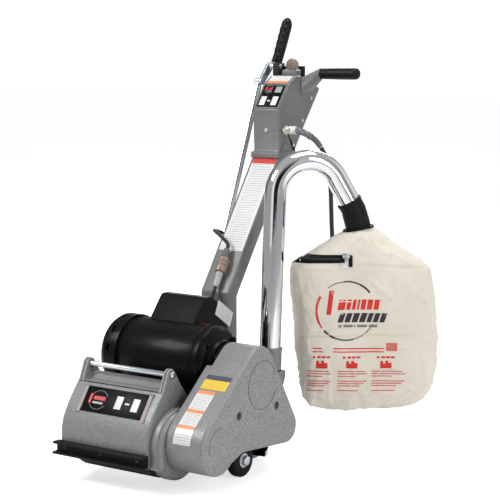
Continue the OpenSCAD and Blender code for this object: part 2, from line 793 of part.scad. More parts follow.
module rear_frame() {
    color(dark_grey) placed() difference() {
        union() {
            // Spine from the deck to the tail, and the socket round the handle's foot
            translate([-45, 40.3, 146]) cube([90, 199.7, 11.8]);
            translate([-46, handle_foot[0] - handle_t / 2 - 6, 146]) cube([92, handle_t + 12, 50]);
            // Leg over the caster, and the lugs of the wheel bracket
            translate([-30, 194, 96]) cube([60, 44, 52]);
            for (x = [-45, 1]) along_x(x, 9) polygon([[58, 146], [104, 146], [92, 86], [77, 80], [62, 86]]);
        }
        translate([-handle_w / 2 - 0.1, handle_foot[0] - handle_t / 2 - 0.1, handle_foot[1]])
            cube([handle_w + 0.2, handle_t + 0.2, 60]);
        rod_x(-60, 90, bracket_shaft_r + run, bracket_pivot);
        translate([0, caster_y, 90]) cylinder(h = 36, r = caster_stem_r + run);
    }
}

module head_casting() {
    color(dark_grey) placed() difference() {
        union() {
            along_x(-head_half, 2 * head_half) polygon(head_outline);
            // Flared lower rim
            along_x(-head_half - 3, 2 * head_half + 6) polygon([[381, 682], [455, 688], [461, 698], [383, 696]]);
        }
        along_x(-head_half + head_wall, 2 * (head_half - head_wall)) polygon(head_room);
        // Pocket for the handle tube
        along_x(-handle_w / 2 - 0.1, handle_w + 0.2)
            polygon(strip([handle_bend, handle_top + unit(handle_top - handle_bend) * 0.2], handle_t + 0.2));
        translate(gland_at - [10, 0, 0]) rotate([0, 90, 0]) cylinder(h = 20, r = 8);
    }
}

head_screw_at = [[534, 824], [494, 770], [453, 711]];

module head_name_plate() {
    slope = atan2(62, 47);
    color(black) placed() translate([0, 388, 800]) rotate([slope, 0, 0]) translate([-30, 7, 0.1]) cube([60, 64, 1.2]);
}

module switch_block() {
    color(dark_grey) placed() difference() {
        translate([-7, 470, 881.1]) cube([40, 28, 13.5]);
        translate([3, 480, 884]) cube([20, 14, 20]);
    }
}

// The rounded paddle hangs on a pin across the slot in its block
module switch_paddle() {
    color([0.55, 0.5, 0.45]) placed() {
        rod_x(3.5, 19, 2.5, [487, 891]);
        translate([4, 484.5, 889]) cube([18, 5, 12]);
        translate([-5, 484.5, 897]) cube([36, 5, 9]);
        intersection() {
            translate([13, 489.5, 906]) rotate([90, 0, 0]) cylinder(h = 5, r = 18);
            translate([-10, 480, 903]) cube([50, 12, 30]);
        }
    }
}

module grip_arm() {
    color(dark_grey) placed() {
        hull() {
            translate([head_half + gap, 486, 838]) cube([2, 44, 38]);
            translate([62, 540, 886]) rotate([0, 90, 0]) cylinder(h = 4, r = 14, $fn = hull_fn);
        }
        rod_x(66, 100, 9, [540, 886]);
    }
}

module right_grip() {
    color(black) placed() difference() {
        union() {
            rod_x(66.2, 102, 13.5, [540, 886]);
            turned_x([540, 886], [[0, 168], [13.5, 168], [12, 173], [8, 176], [0, 177]]);
        }
        rod_x(66, 100.2, 9, [540, 886]);
    }
}

// ---- lift linkage ----
module lever_block() {
    color(black) placed() difference() {
        union() {
            translate([-37, 474, 881.1]) cube([18, 28, 31]);
            translate([-37, 500, 896]) cube([75, 8, 9]);
            translate([28, 500, 879]) cube([10, 8, 20]);
        }
        rod_x(-50, 40, lever_pivot_r + run, lever_pivot);
    }
}

module lift_lever() {
    x = lever_x;
    color(zinc) placed() {
        difference() {
            along_x(x, lever_t) polygon(loop_round([
                [lever_pivot[0], lever_pivot[1], 12], [lever_pin[0], lever_pin[1], 10]]));
            rod_x(x - 1, 8, lever_pivot_r, lever_pivot);
            rod_x(x - 1, 8, rod_pin_r, lever_pin);
        }
        // Shank up into the grip
        along_x(x, lever_t) difference() {
            polygon(strip([lever_pivot + [6, 2], grip_low - [2, 4], grip_high - [4, 8]], 14));
            translate(lever_pivot) circle(12);
        }
        // Pivot pin in the block, and the rod's pin with its head outside
        rod_x(x, 36, lever_pivot_r, lever_pivot);
        rod_x(x - 2, 2, 9, lever_pivot);
        rod_x(rod_x - 1, -rod_x + 1 + x + lever_t, rod_pin_r, lever_pin);
        rod_x(rod_x - 10, 9.5, 8, lever_pin);
    }
}

module lever_grip() {
    d = unit(grip_high - grip_low);
    len = norm(grip_high - grip_low);
    color(black) placed() difference() {
        translate([lever_x + 3, grip_low[0], grip_low[1]]) rotate([-acos(d[1]), 0, 0]) rotate_extrude()
            polygon([[0, 0], [grip_r, 0], [grip_r, len], [11.3, len + 6.5], [7.5, len + 10.8], [3, len + 12.7], [0, len + 13]]);
        along_x(lever_x, lever_t) polygon(strip([grip_low - 20 * d, grip_low - [2, 4], grip_high - [4, 8]], 14));
    }
}

module lift_rod() {
    color(zinc) placed() difference() {
        union() {
            along_x(rod_x, rod_t) polygon(strip([lever_pin, [197, 250], bracket_pin], 18));
            rod_x(rod_x, rod_t, 11, lever_pin);
            rod_x(rod_x, rod_t, 12, bracket_pin);
        }
        rod_x(rod_x - 1, rod_t + 2, rod_pin_r + run, lever_pin);
        // Loose hole: the free play that lets the wheels find the floor
        rod_x(rod_x - 1, rod_t + 2, rod_pin_r + 1.2, bracket_pin);
    }
}

module wheel_bracket() {
    pivot = [bracket_pivot[0], bracket_pivot[1], 17];
    color(zinc) placed() {
        rod_x(-55, 77, bracket_shaft_r, bracket_pivot);
        // Two arms down to the axle; the left one also carries the rod's pin
        for (x = [-55, 12]) difference() {
            along_x(x, 7) union() {
                polygon(loop_round([pivot, [axle[0], axle[1], 15]]));
                if (x < 0) polygon(loop_round([pivot, [bracket_pin[0], bracket_pin[1], 11]]));
            }
            rod_x(x - 1, 9, bracket_shaft_r, bracket_pivot);
            rod_x(x - 1, 9, axle_r, axle);
        }
        rod_x(rod_x - 4, -rod_x + 4 - 55, rod_pin_r, bracket_pin);
        rod_x(rod_x - 8, 4, 9, bracket_pin);
        // Axle with its end nuts and spacers
        rod_x(left_wheel_x - 8, wheel_x - left_wheel_x + wheel_w + 16, axle_r, axle);
        for (x = [left_wheel_x - 8, wheel_x + wheel_w + 0.5]) ring_nut(x);
        for (x = [left_wheel_x + wheel_w + 0.5, wheel_x - 4.5]) ring_x(x, 4, 12, axle_r, axle);
    }
}

module ring_nut(x) {
    difference() {
        rod_x(x, 7.5, 12, axle, 6);
        rod_x(x - 1, 10, axle_r, axle);
    }
}

// A rubber-tyred wheel that turns on the fixed axle
module transport_wheel(x) {
    color(black) placed() difference() {
        turned_x(axle, [
            [0, x + 3], [15, x + 3], [17, x], [wheel_r - 5, x], [wheel_r - 1, x + 2], [wheel_r, x + 6],
            [wheel_r, x + wheel_w - 6], [wheel_r - 1, x + wheel_w - 2], [wheel_r - 5, x + wheel_w],
            [17, x + wheel_w], [15, x + wheel_w - 3], [0, x + wheel_w - 3]]);
        rod_x(x - 1, wheel_w + 2, axle_r + run, axle);
    }
}

module left_wheel() {
    transport_wheel(left_wheel_x);
}

module right_wheel() {
    transport_wheel(wheel_x);
}

module caster_fork() {
    y = caster_y + caster_trail;
    color(zinc) placed() {
        translate([0, caster_y, 66]) cylinder(h = 54, r = caster_stem_r);
        translate([0, caster_y, 84]) cylinder(h = 11.5, r = 20);
        translate([-19, caster_y - 14, 66]) cube([38, 34, 5]);
        for (x = [-19, 15]) difference() {
            along_x(x, 4) polygon([[caster_y - 14, 71], [caster_y - 14, 62], [y - 12, 20], [y + 10, 20], [y + 12, 34], [caster_y + 20, 71]]);
            rod_x(x - 1, 6, caster_axle_r, [y, caster_r]);
        }
        rod_x(-24, 48, caster_axle_r, [y, caster_r]);
    }
}

module caster_wheel() {
    color(black) placed() ring_x(-12, 24, caster_r, caster_axle_r + run, [caster_y + caster_trail, caster_r]);
}

// ---- cords ----
// Gland in the head's right wall, and the woven mesh grip from its nut to where the cord hangs free
module cord_gland() {
    color([0.75, 0.7, 0.5]) placed() translate(gland_at) rotate([0, 90, 0]) difference() {
        union() {
            translate([0, 0, 0.2]) cylinder(h = 8, r = 12, $fn = 6);
            cylinder(h = 16, r = 9.5);
            translate([0, 0, -9]) cylinder(h = 10, r = 7.9);
            translate([0, 0, 14]) cylinder(h = 10, r = 10.5, $fn = 6);
        }
        translate([0, 0, -10]) cylinder(h = 40, r = 6);
    }
    color(steel) placed() sweep(relief_route, 8.6, 6.4);
}

module power_cord() {
    color(dark_grey) placed() sweep(cord_route, cord_r, cord_r);
}

module plug() {
    color(black) placed() translate(plug_at) {
        translate([0, 0, -plug_len]) cylinder(h = plug_len, r1 = plug_r, r2 = 9);
        for (x = [-6.35, 6.35]) translate([x - 0.75, -3.2, -plug_len - 16]) cube([1.5, 6.4, 16]);
        translate([0, 9, -plug_len - pin_len]) cylinder(h = pin_len, r = ground_pin_r);
    }
}

module cable_connector() {
    d = connector_end - connector_top;
    color(dark_grey) placed() {
        between(connector_top, connector_top + d * 0.26, 8, 11.5);
        between(connector_top + d * 0.26, connector_top + d * 0.62, 14, 14);
        between(connector_top + d * 0.62, connector_end, 8, 7);
    }
}

module control_cable() {
    color(dark_grey) placed() {
        sweep(cable_route, cable_r, cable_r, 8, [0, 0.5, -1]);
        sweep(lead_route, cable_r, cable_r, 8, [1, 0, 0]);
    }
}

drum_housing();
left_side_cover();
cover_screws();
side_bearing_housing();
front_bumper();
bumper_screws();
cross_rod();
name_panel();
belt_guard();
guard_plate();
case_bolts();
motor_frame();
drive_end_bell();
rear_end_bell();
motor_bolts();
fan_cover();
capacitor_box();
motor_base();
stator();
motor_rotor();
cooling_fan();
motor_pulley();
drum();
sanding_sleeve();
drum_shaft();
shaft_bearings();
drum_pulley();
drive_belt();
blower_housing();
blower_wheel();
blower_pulley();
suction_duct();
pipe_collar();
dust_pipe();
bag_cuff();
dust_bag();
zipper_tape();
zipper_slider();
handle_tube();
rear_frame();
head_casting();
head_name_plate();
switch_block();
switch_paddle();
grip_arm();
right_grip();
lever_block();
lift_lever();
lever_grip();
lift_rod();
wheel_bracket();
left_wheel();
right_wheel();
caster_fork();
caster_wheel();
cord_gland();
power_cord();
plug();
cable_connector();
control_cable();
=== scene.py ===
import json
import math

import bmesh
import bpy
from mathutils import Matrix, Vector, noise
from mathutils.bvhtree import BVHTree


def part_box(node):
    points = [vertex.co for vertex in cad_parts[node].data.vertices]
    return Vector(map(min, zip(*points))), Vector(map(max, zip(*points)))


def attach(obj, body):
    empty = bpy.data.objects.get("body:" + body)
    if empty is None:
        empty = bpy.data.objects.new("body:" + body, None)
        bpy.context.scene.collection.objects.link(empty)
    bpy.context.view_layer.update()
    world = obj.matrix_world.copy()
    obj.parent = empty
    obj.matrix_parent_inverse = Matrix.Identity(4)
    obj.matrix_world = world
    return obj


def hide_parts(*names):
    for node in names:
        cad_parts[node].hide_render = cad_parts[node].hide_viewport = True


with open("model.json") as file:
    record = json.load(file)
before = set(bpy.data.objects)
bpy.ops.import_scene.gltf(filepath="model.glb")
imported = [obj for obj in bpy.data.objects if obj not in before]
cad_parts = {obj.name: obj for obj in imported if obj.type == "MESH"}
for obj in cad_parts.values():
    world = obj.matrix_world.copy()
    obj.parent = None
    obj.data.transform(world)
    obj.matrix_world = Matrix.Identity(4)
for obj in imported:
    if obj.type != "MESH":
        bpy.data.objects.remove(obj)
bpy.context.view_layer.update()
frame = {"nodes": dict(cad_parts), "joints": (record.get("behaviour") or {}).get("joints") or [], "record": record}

# ---------------------------------------------------------------- places
# The machine frame is in millimetres: drum centred on x = 0, wheel axle at y = 0, floor at z = 0.
JOINT = {j["name"]: j for j in frame["joints"]}
DRUM_Y, DRUM_Z = -153, 96
ORIGIN = Vector(JOINT["drum_spin"]["pos_m"]) - Vector((0, DRUM_Y, DRUM_Z)) / 1000


def at(x, y, z):
    """A point of the machine frame, in the row frame's metres."""
    return ORIGIN + Vector((x, y, z)) / 1000


def mm(v):
    return v / 1000


MOTOR_Y, MOTOR_Z, MOTOR_R = 4, 249, 82.5
PIPE_R = 25.4
BAG_YAW = math.radians(35)

# ---------------------------------------------------------------- camera and light
scene = bpy.context.scene
scene.view_settings.view_transform = "Standard"
CAMERA_TURN = math.radians(34.5)
CAMERA_DIP = math.radians(7.4)
camera_data = bpy.data.cameras.new("camera")
camera = bpy.data.objects.new("camera", camera_data)
scene.collection.objects.link(camera)
camera_data.lens = 106.9
camera_data.clip_end = 50
camera.location = at(2034.5, -2640.4, 926.9)
camera.rotation_euler = (math.pi / 2 - CAMERA_DIP, 0, CAMERA_TURN)
scene.camera = camera


def area_light(name, place, aim, size, power, tall=None):
    data = bpy.data.lights.new(name, "AREA")
    data.energy = power
    data.size = size
    if tall:
        data.shape = "RECTANGLE"
        data.size_y = tall
    lamp = bpy.data.objects.new(name, data)
    scene.collection.objects.link(lamp)
    lamp.location = place
    lamp.rotation_euler = (Vector(aim) - Vector(place)).to_track_quat("-Z", "Y").to_euler()


area_light("key", (-1.6, -2.2, 2.6), (0, 0, 0.35), 1.2, 62)
area_light("side", (3.0, -0.6, 1.5), (0, 0, 0.4), 0.7, 30, 1.8)
area_light("top", (0.2, 0.4, 3.2), (0, 0, 0.3), 1.6, 40)
area_light("rim", (-1.4, 2.6, 1.8), (0, 0, 0.5), 1.2, 30)

# ---------------------------------------------------------------- node trees


def scaled(color, factor):
    """A colour made darker or lighter, never past white."""
    return tuple(min(1, c * factor) for c in color)


class Nodes:
    """Short calls for the usual nodes of a node tree."""

    def __init__(self, tree):
        self.tree = tree

    def node(self, kind, *inputs, **values):
        n = self.tree.nodes.new("ShaderNode" + kind)
        for key, value in values.items():
            setattr(n, key, value)
        for i, source in enumerate(inputs):
            if source is None:
                continue
            if isinstance(source, (int, float, tuple)):
                n.inputs[i].default_value = source
            else:
                self.tree.links.new(source, n.inputs[i])
        return n

    def ramp(self, source, *stops):
        n = self.node("ValToRGB", source)
        ramp = n.color_ramp
        while len(ramp.elements) < len(stops):
            ramp.elements.new(0.5)
        for element, (position, color) in zip(ramp.elements, stops):
            element.position = position
            element.color = (*color, 1) if isinstance(color, tuple) else (color, color, color, 1)
        return n.outputs[0]

    def math(self, how, a, b=0.0, c=0.0):
        n = self.node("Math", a, b, c, operation=how)
        return n.outputs[0]

    def mix(self, factor, a, b):
        n = self.tree.nodes.new("ShaderNodeMix")
        n.data_type = "RGBA"
        for socket, source in zip((n.inputs[0], n.inputs[6], n.inputs[7]), (factor, a, b)):
            if isinstance(source, (int, float)):
                socket.default_value = source
            elif isinstance(source, tuple):
                socket.default_value = (*source, 1)
            else:
                self.tree.links.new(source, socket)
        return n.outputs[2]


class Paint(Nodes):
    """A node material on the object's own coordinates."""

    def __init__(self, name, color, rough=0.5, metal=0.0, **sockets):
        self.mat = bpy.data.materials.new(name)
        self.mat.use_nodes = True
        super().__init__(self.mat.node_tree)
        self.shader = self.tree.nodes["Principled BSDF"]
        self.set("Base Color", (*color, 1))
        self.set("Roughness", rough)
        self.set("Metallic", metal)
        for key, value in sockets.items():
            self.set(key.replace("_", " "), value)
        self.coords = self.tree.nodes.new("ShaderNodeTexCoord")
        self.mat.diffuse_color = (*color, 1)

    def set(self, socket, value):
        self.shader.inputs[socket].default_value = value

    def link(self, output, socket):
        self.tree.links.new(output, self.shader.inputs[socket])

    def place(self, scale=(1, 1, 1), turn=(0, 0, 0)):
        n = self.node("Mapping", self.coords.outputs["Object"])
        n.inputs["Rotation"].default_value = turn
        n.inputs["Scale"].default_value = scale
        return n.outputs[0]

    def noise(self, scale, detail=2.0, where=None, rough=0.5):
        n = self.node("TexNoise", where or self.coords.outputs["Object"])
        n.inputs["Scale"].default_value = scale
        n.inputs["Detail"].default_value = detail
        n.inputs["Roughness"].default_value = rough
        return n.outputs["Fac"]

    def cells(self, scale, feature="SMOOTH_F1", where=None):
        n = self.node("TexVoronoi", where or self.coords.outputs["Object"], feature=feature)
        n.inputs["Scale"].default_value = scale
        return n.outputs["Distance"]

    def vary(self, socket, scale, detail, low, high, where=None):
        """A socket that drifts between two (noise level, value) stops."""
        self.link(self.ramp(self.noise(scale, detail, where), low, high), socket)

    def bump(self, height, distance, strength=1.0, under=None):
        n = self.node("Bump")
        n.inputs["Strength"].default_value = strength
        n.inputs["Distance"].default_value = distance
        self.tree.links.new(height, n.inputs["Height"])
        if under:
            self.tree.links.new(under, n.inputs["Normal"])
        self.link(n.outputs[0], "Normal")
        return n.outputs[0]


# ---------------------------------------------------------------- studio
# Lights and reflections come from upright strips round the horizon, as (share of a turn, grey), and a pale overhead.
# The camera itself sees a plain white backdrop.
STRIPS = ((0.0, 0.25), (0.04, 0.25), (0.06, 0.7), (0.22, 0.7), (0.24, 1.6), (0.285, 1.6), (0.30, 0.02), (0.40, 0.02),
          (0.415, 1.0), (0.455, 1.0), (0.475, 0.6), (0.585, 0.6), (0.60, 1.5), (0.73, 1.5), (0.745, 0.4), (0.84, 0.3),
          (1.0, 0.25))
world = bpy.data.worlds.new("studio")
scene.world = world
world.use_nodes = True
studio = Nodes(world.node_tree)
split = studio.node("SeparateXYZ", studio.node("TexCoord").outputs["Generated"])
bearing = studio.math("ARCTAN2", split.outputs["Y"], split.outputs["X"])
strips = studio.ramp(studio.math("MULTIPLY_ADD", bearing, 0.5 / math.pi, 0.5), *STRIPS)
overhead = studio.node("MapRange", split.outputs["Z"], 0.35, 0.8)
background = studio.tree.nodes["Background"]
background.inputs["Strength"].default_value = 0.5
studio.tree.links.new(studio.mix(overhead.outputs[0], strips, (0.85, 0.85, 0.87)), background.inputs["Color"])
backdrop = studio.node("Background", (1, 1, 1, 1), 1.05)
camera_ray = studio.node("LightPath").outputs["Is Camera Ray"]
either = studio.node("MixShader", camera_ray, background.outputs[0], backdrop.outputs[0])
studio.tree.links.new(either.outputs[0], studio.tree.nodes["World Output"].inputs["Surface"])


# ---------------------------------------------------------------- materials
def hammered_paint(name, light, dark, rough=0.4, metal=0.35, cell=330, depth=0.00035):
    p = Paint(name, light, rough, metal, Coat_Weight=0.12, Coat_Roughness=0.2)
    flake = p.noise(820, 1.5, rough=0.7)
    drift = p.noise(9, 3.0)
    speckle = p.ramp(flake, (0.38, dark), (0.60, light), (0.70, scaled(light, 1.7)))
    worn = p.mix(p.ramp(drift, (0.35, 0.0), (0.75, 0.22)), speckle, scaled(light, 0.78))
    p.link(worn, "Base Color")
    p.vary("Roughness", 60, 3.0, (0.3, rough - 0.07), (0.8, rough + 0.1))
    skin = p.bump(p.cells(cell), depth, 0.5)
    p.bump(p.noise(700, 2.0), depth * 0.3, 0.4, under=skin)
    return p.mat


def gloss_black(name, color=(0.0035, 0.003, 0.0028), rough=0.3, coat=0.04):
    p = Paint(name, color, rough, 0.0, Coat_Weight=coat, Coat_Roughness=0.1, Specular_IOR_Level=0.11)
    p.vary("Base Color", 14, 4.0, (0.3, scaled(color, 0.8)), (0.8, scaled(color, 1.5)))
    p.vary("Roughness", 40, 4.0, (0.35, rough), (0.8, rough + 0.14))
    p.bump(p.noise(260, 2.0), 0.00010, 0.3)
    return p.mat


def zinc_plate(name, tint=(0.66, 0.72, 0.76), rough=0.24, stretch=(1, 1, 1), grain=1.0):
    p = Paint(name, tint, rough, 1.0)
    where = p.place(scale=stretch)
    cloud = p.noise(28, 4.0, where)
    p.link(p.ramp(cloud, (0.3, (0.60, 0.68, 0.73)), (0.55, tint), (0.8, (0.84, 0.84, 0.79))), "Base Color")
    p.vary("Roughness", 160, 3.0, (0.3, rough - 0.05 * grain), (0.8, rough + 0.14 * grain), where)
    p.bump(p.noise(900, 2.0, where), 0.00005 * grain, 0.4 * grain)
    return p.mat


def chrome_plate():
    p = Paint("chrome_plate", (0.88, 0.89, 0.91), 0.05, 1.0)
    haze = p.noise(22, 5.0, rough=0.6)
    p.link(p.ramp(haze, (0.45, 0.035), (0.85, 0.13)), "Roughness")
    p.bump(p.noise(35, 2.0), 0.0001, 0.12)
    return p.mat


def black_rubber(name, color=(0.0055, 0.0055, 0.006), rough=0.55, grain=900):
    p = Paint(name, color, rough, Specular_IOR_Level=0.2)
    p.vary("Base Color", 30, 4.0, (0.3, color), (0.85, scaled(color, 1.6)))
    p.vary("Roughness", 80, 3.0, (0.3, rough - 0.04), (0.8, rough + 0.08))
    p.bump(p.noise(grain, 3.0), 0.0001, 0.3)
    return p.mat


def moulded(name, color, rough=0.42, grain=1200):
    p = Paint(name, color, rough)
    p.vary("Base Color", 50, 3.0, (0.3, scaled(color, 0.85)), (0.8, scaled(color, 1.15)))
    p.vary("Roughness", 120, 2.0, (0.3, rough - 0.05), (0.8, rough + 0.1))
    p.bump(p.cells(grain), 0.00008, 0.4)
    return p.mat


def machined(name, color=(0.52, 0.52, 0.54), rough=0.3, stretch=(1, 1, 1)):
    p = Paint(name, color, rough, 1.0)
    where = p.place(scale=stretch)
    p.vary("Base Color", 200, 3.0, (0.3, scaled(color, 0.8)), (0.8, color), where)
    p.vary("Roughness", 90, 3.0, (0.3, rough - 0.06), (0.8, rough + 0.16))
    p.bump(p.noise(900, 2.0, where), 0.00006, 0.4)
    return p.mat


def braided(name, light, dark, pitch):
    """A woven sleeve: two crossed sets of wires."""
    p = Paint(name, light, 0.34, 0.8)
    one = p.node("TexWave", p.place(turn=(0, 0.785, 0.5)), wave_type="BANDS").outputs["Fac"]
    two = p.node("TexWave", p.place(turn=(0, -0.785, -0.5)), wave_type="BANDS").outputs["Fac"]
    for w in p.tree.nodes:
        if w.type == "TEX_WAVE":
            w.inputs["Scale"].default_value = pitch
            w.inputs["Distortion"].default_value = 0.3
    weave = p.math("MULTIPLY", one, two)
    p.link(p.ramp(weave, (0.1, dark), (0.5, light)), "Base Color")
    p.bump(weave, 0.0006, 0.9)
    return p.mat


def abrasive_cloth():
    p = Paint("abrasive_cloth", (0.03, 0.026, 0.024), 0.8)
    grit = p.cells(1500, "F1")
    p.link(p.ramp(grit, (0.1, (0.07, 0.06, 0.055)), (0.5, (0.012, 0.011, 0.011))), "Base Color")
    p.bump(grit, 0.0005, 0.8)
    return p.mat


def label(name, base, header, rows, header_from=0.82, line=(0.25, 0.25, 0.26), bands=()):
    """A printed sticker: header band and plain rows of bars, on its own 0-1 coordinates."""
    p = Paint(name, base, 0.32, 0.0, Coat_Weight=0.4, Coat_Roughness=0.12)
    part = p.node("SeparateXYZ", p.coords.outputs["UV"])
    u, v = part.outputs["X"], part.outputs["Y"]
    row = p.math("FRACT", p.math("MULTIPLY", v, float(rows)))
    bar = p.math("MULTIPLY", p.math("GREATER_THAN", row, 0.4), p.math("LESS_THAN", row, 0.72))
    inset = p.math("MULTIPLY", p.math("GREATER_THAN", u, 0.09), p.math("LESS_THAN", u, 0.9))
    spots = p.node("Mapping", p.coords.outputs["UV"])
    spots.inputs["Scale"].default_value = (26, 2.0 * rows, 1)
    words = p.math("GREATER_THAN", p.noise(1.0, 1.0, spots.outputs[0]), 0.43)
    ink = p.mix(p.math("MULTIPLY", p.math("MULTIPLY", p.math("MULTIPLY", bar, inset), words), 0.62), base, line)
    for low, high in ((header_from, 1.1), *bands):
        inside = p.math("MULTIPLY", p.math("GREATER_THAN", v, low), p.math("LESS_THAN", v, high))
        ink = p.mix(inside, ink, header)
    dust = p.ramp(p.noise(300, 3.0), (0.4, 0.0), (0.8, 0.08))
    p.link(p.mix(dust, ink, (0.4, 0.38, 0.35)), "Base Color")
    p.bump(p.noise(500, 2.0), 0.00005, 0.3)
    return p.mat


def canvas_cloth():
    """Plain-woven cotton duck: two crossed sets of threads, flecks of seed and soft soiling."""
    p = Paint("cotton_canvas", (0.86, 0.81, 0.70), 0.9, 0.0, Sheen_Weight=0.35, Sheen_Roughness=0.5)
    turned_place = p.place(turn=(0, 0, -BAG_YAW))
    warp = p.node("TexWave", turned_place, wave_type="BANDS", bands_direction="X")
    weft = p.node("TexWave", turned_place, wave_type="BANDS", bands_direction="Z")
    for w in (warp, weft):
        w.inputs["Scale"].default_value = 420
        w.inputs["Distortion"].default_value = 1.2
        w.inputs["Detail"].default_value = 1.0
    weave = p.math("ADD", warp.outputs["Fac"], weft.outputs["Fac"])
    slub = p.noise(90, 4.0, p.place(scale=(1, 1, 6)))
    cloud = p.noise(7, 4.0)
    tint = p.ramp(cloud, (0.3, (0.83, 0.77, 0.65)), (0.7, (0.89, 0.84, 0.735)))
    tint = p.mix(p.ramp(slub, (0.5, 0.0), (0.8, 0.25)), tint, (0.74, 0.67, 0.53))
    tint = p.mix(p.ramp(weave, (0.4, 0.16), (1.2, 0.0)), tint, (0.60, 0.53, 0.41))
    fleck = p.ramp(p.cells(160, "F1"), (0.02, 0.5), (0.05, 0.0))
    p.link(p.mix(fleck, tint, (0.36, 0.27, 0.16)), "Base Color")
    cloth = p.bump(weave, 0.00025, 0.5)
    crumple = p.noise(38, 5.0, rough=0.6)
    p.bump(crumple, 0.004, 0.4, under=cloth)
    return p.mat


def hatch(name, light, dark):
    """Fine slanting lines, as on a knurled strip."""
    p = Paint(name, light, 0.4)
    w = p.node("TexWave", p.place(turn=(0.6, 0.8, 0.4)), wave_type="BANDS")
    w.inputs["Scale"].default_value = 110
    p.link(p.ramp(w.outputs["Fac"], (0.35, dark), (0.6, light)), "Base Color")
    p.bump(w.outputs["Fac"], 0.0004, 0.7)
    return p.mat


def printed(name, color):
    """Screen ink on canvas, worn paler in patches."""
    p = Paint(name, color, 0.8)
    worn = p.noise(240, 4.0)
    p.link(p.ramp(worn, (0.22, tuple(min(1, c * 1.3 + 0.04) for c in color)), (0.4, color)), "Base Color")
    p.bump(p.noise(500, 2.0), 0.00015, 0.5)
    return p.mat


def zip_teeth():
    p = Paint("zipper_teeth", (0.10, 0.10, 0.10), 0.35, 0.8)
    w = p.node("TexWave", p.place(turn=(0, 0, -BAG_YAW)), wave_type="BANDS", bands_direction="X")
    w.inputs["Scale"].default_value = 160
    p.link(p.ramp(w.outputs["Fac"], (0.3, (0.02, 0.02, 0.02)), (0.6, (0.13, 0.13, 0.13))), "Base Color")
    p.bump(w.outputs["Fac"], 0.0006, 0.9)
    return p.mat


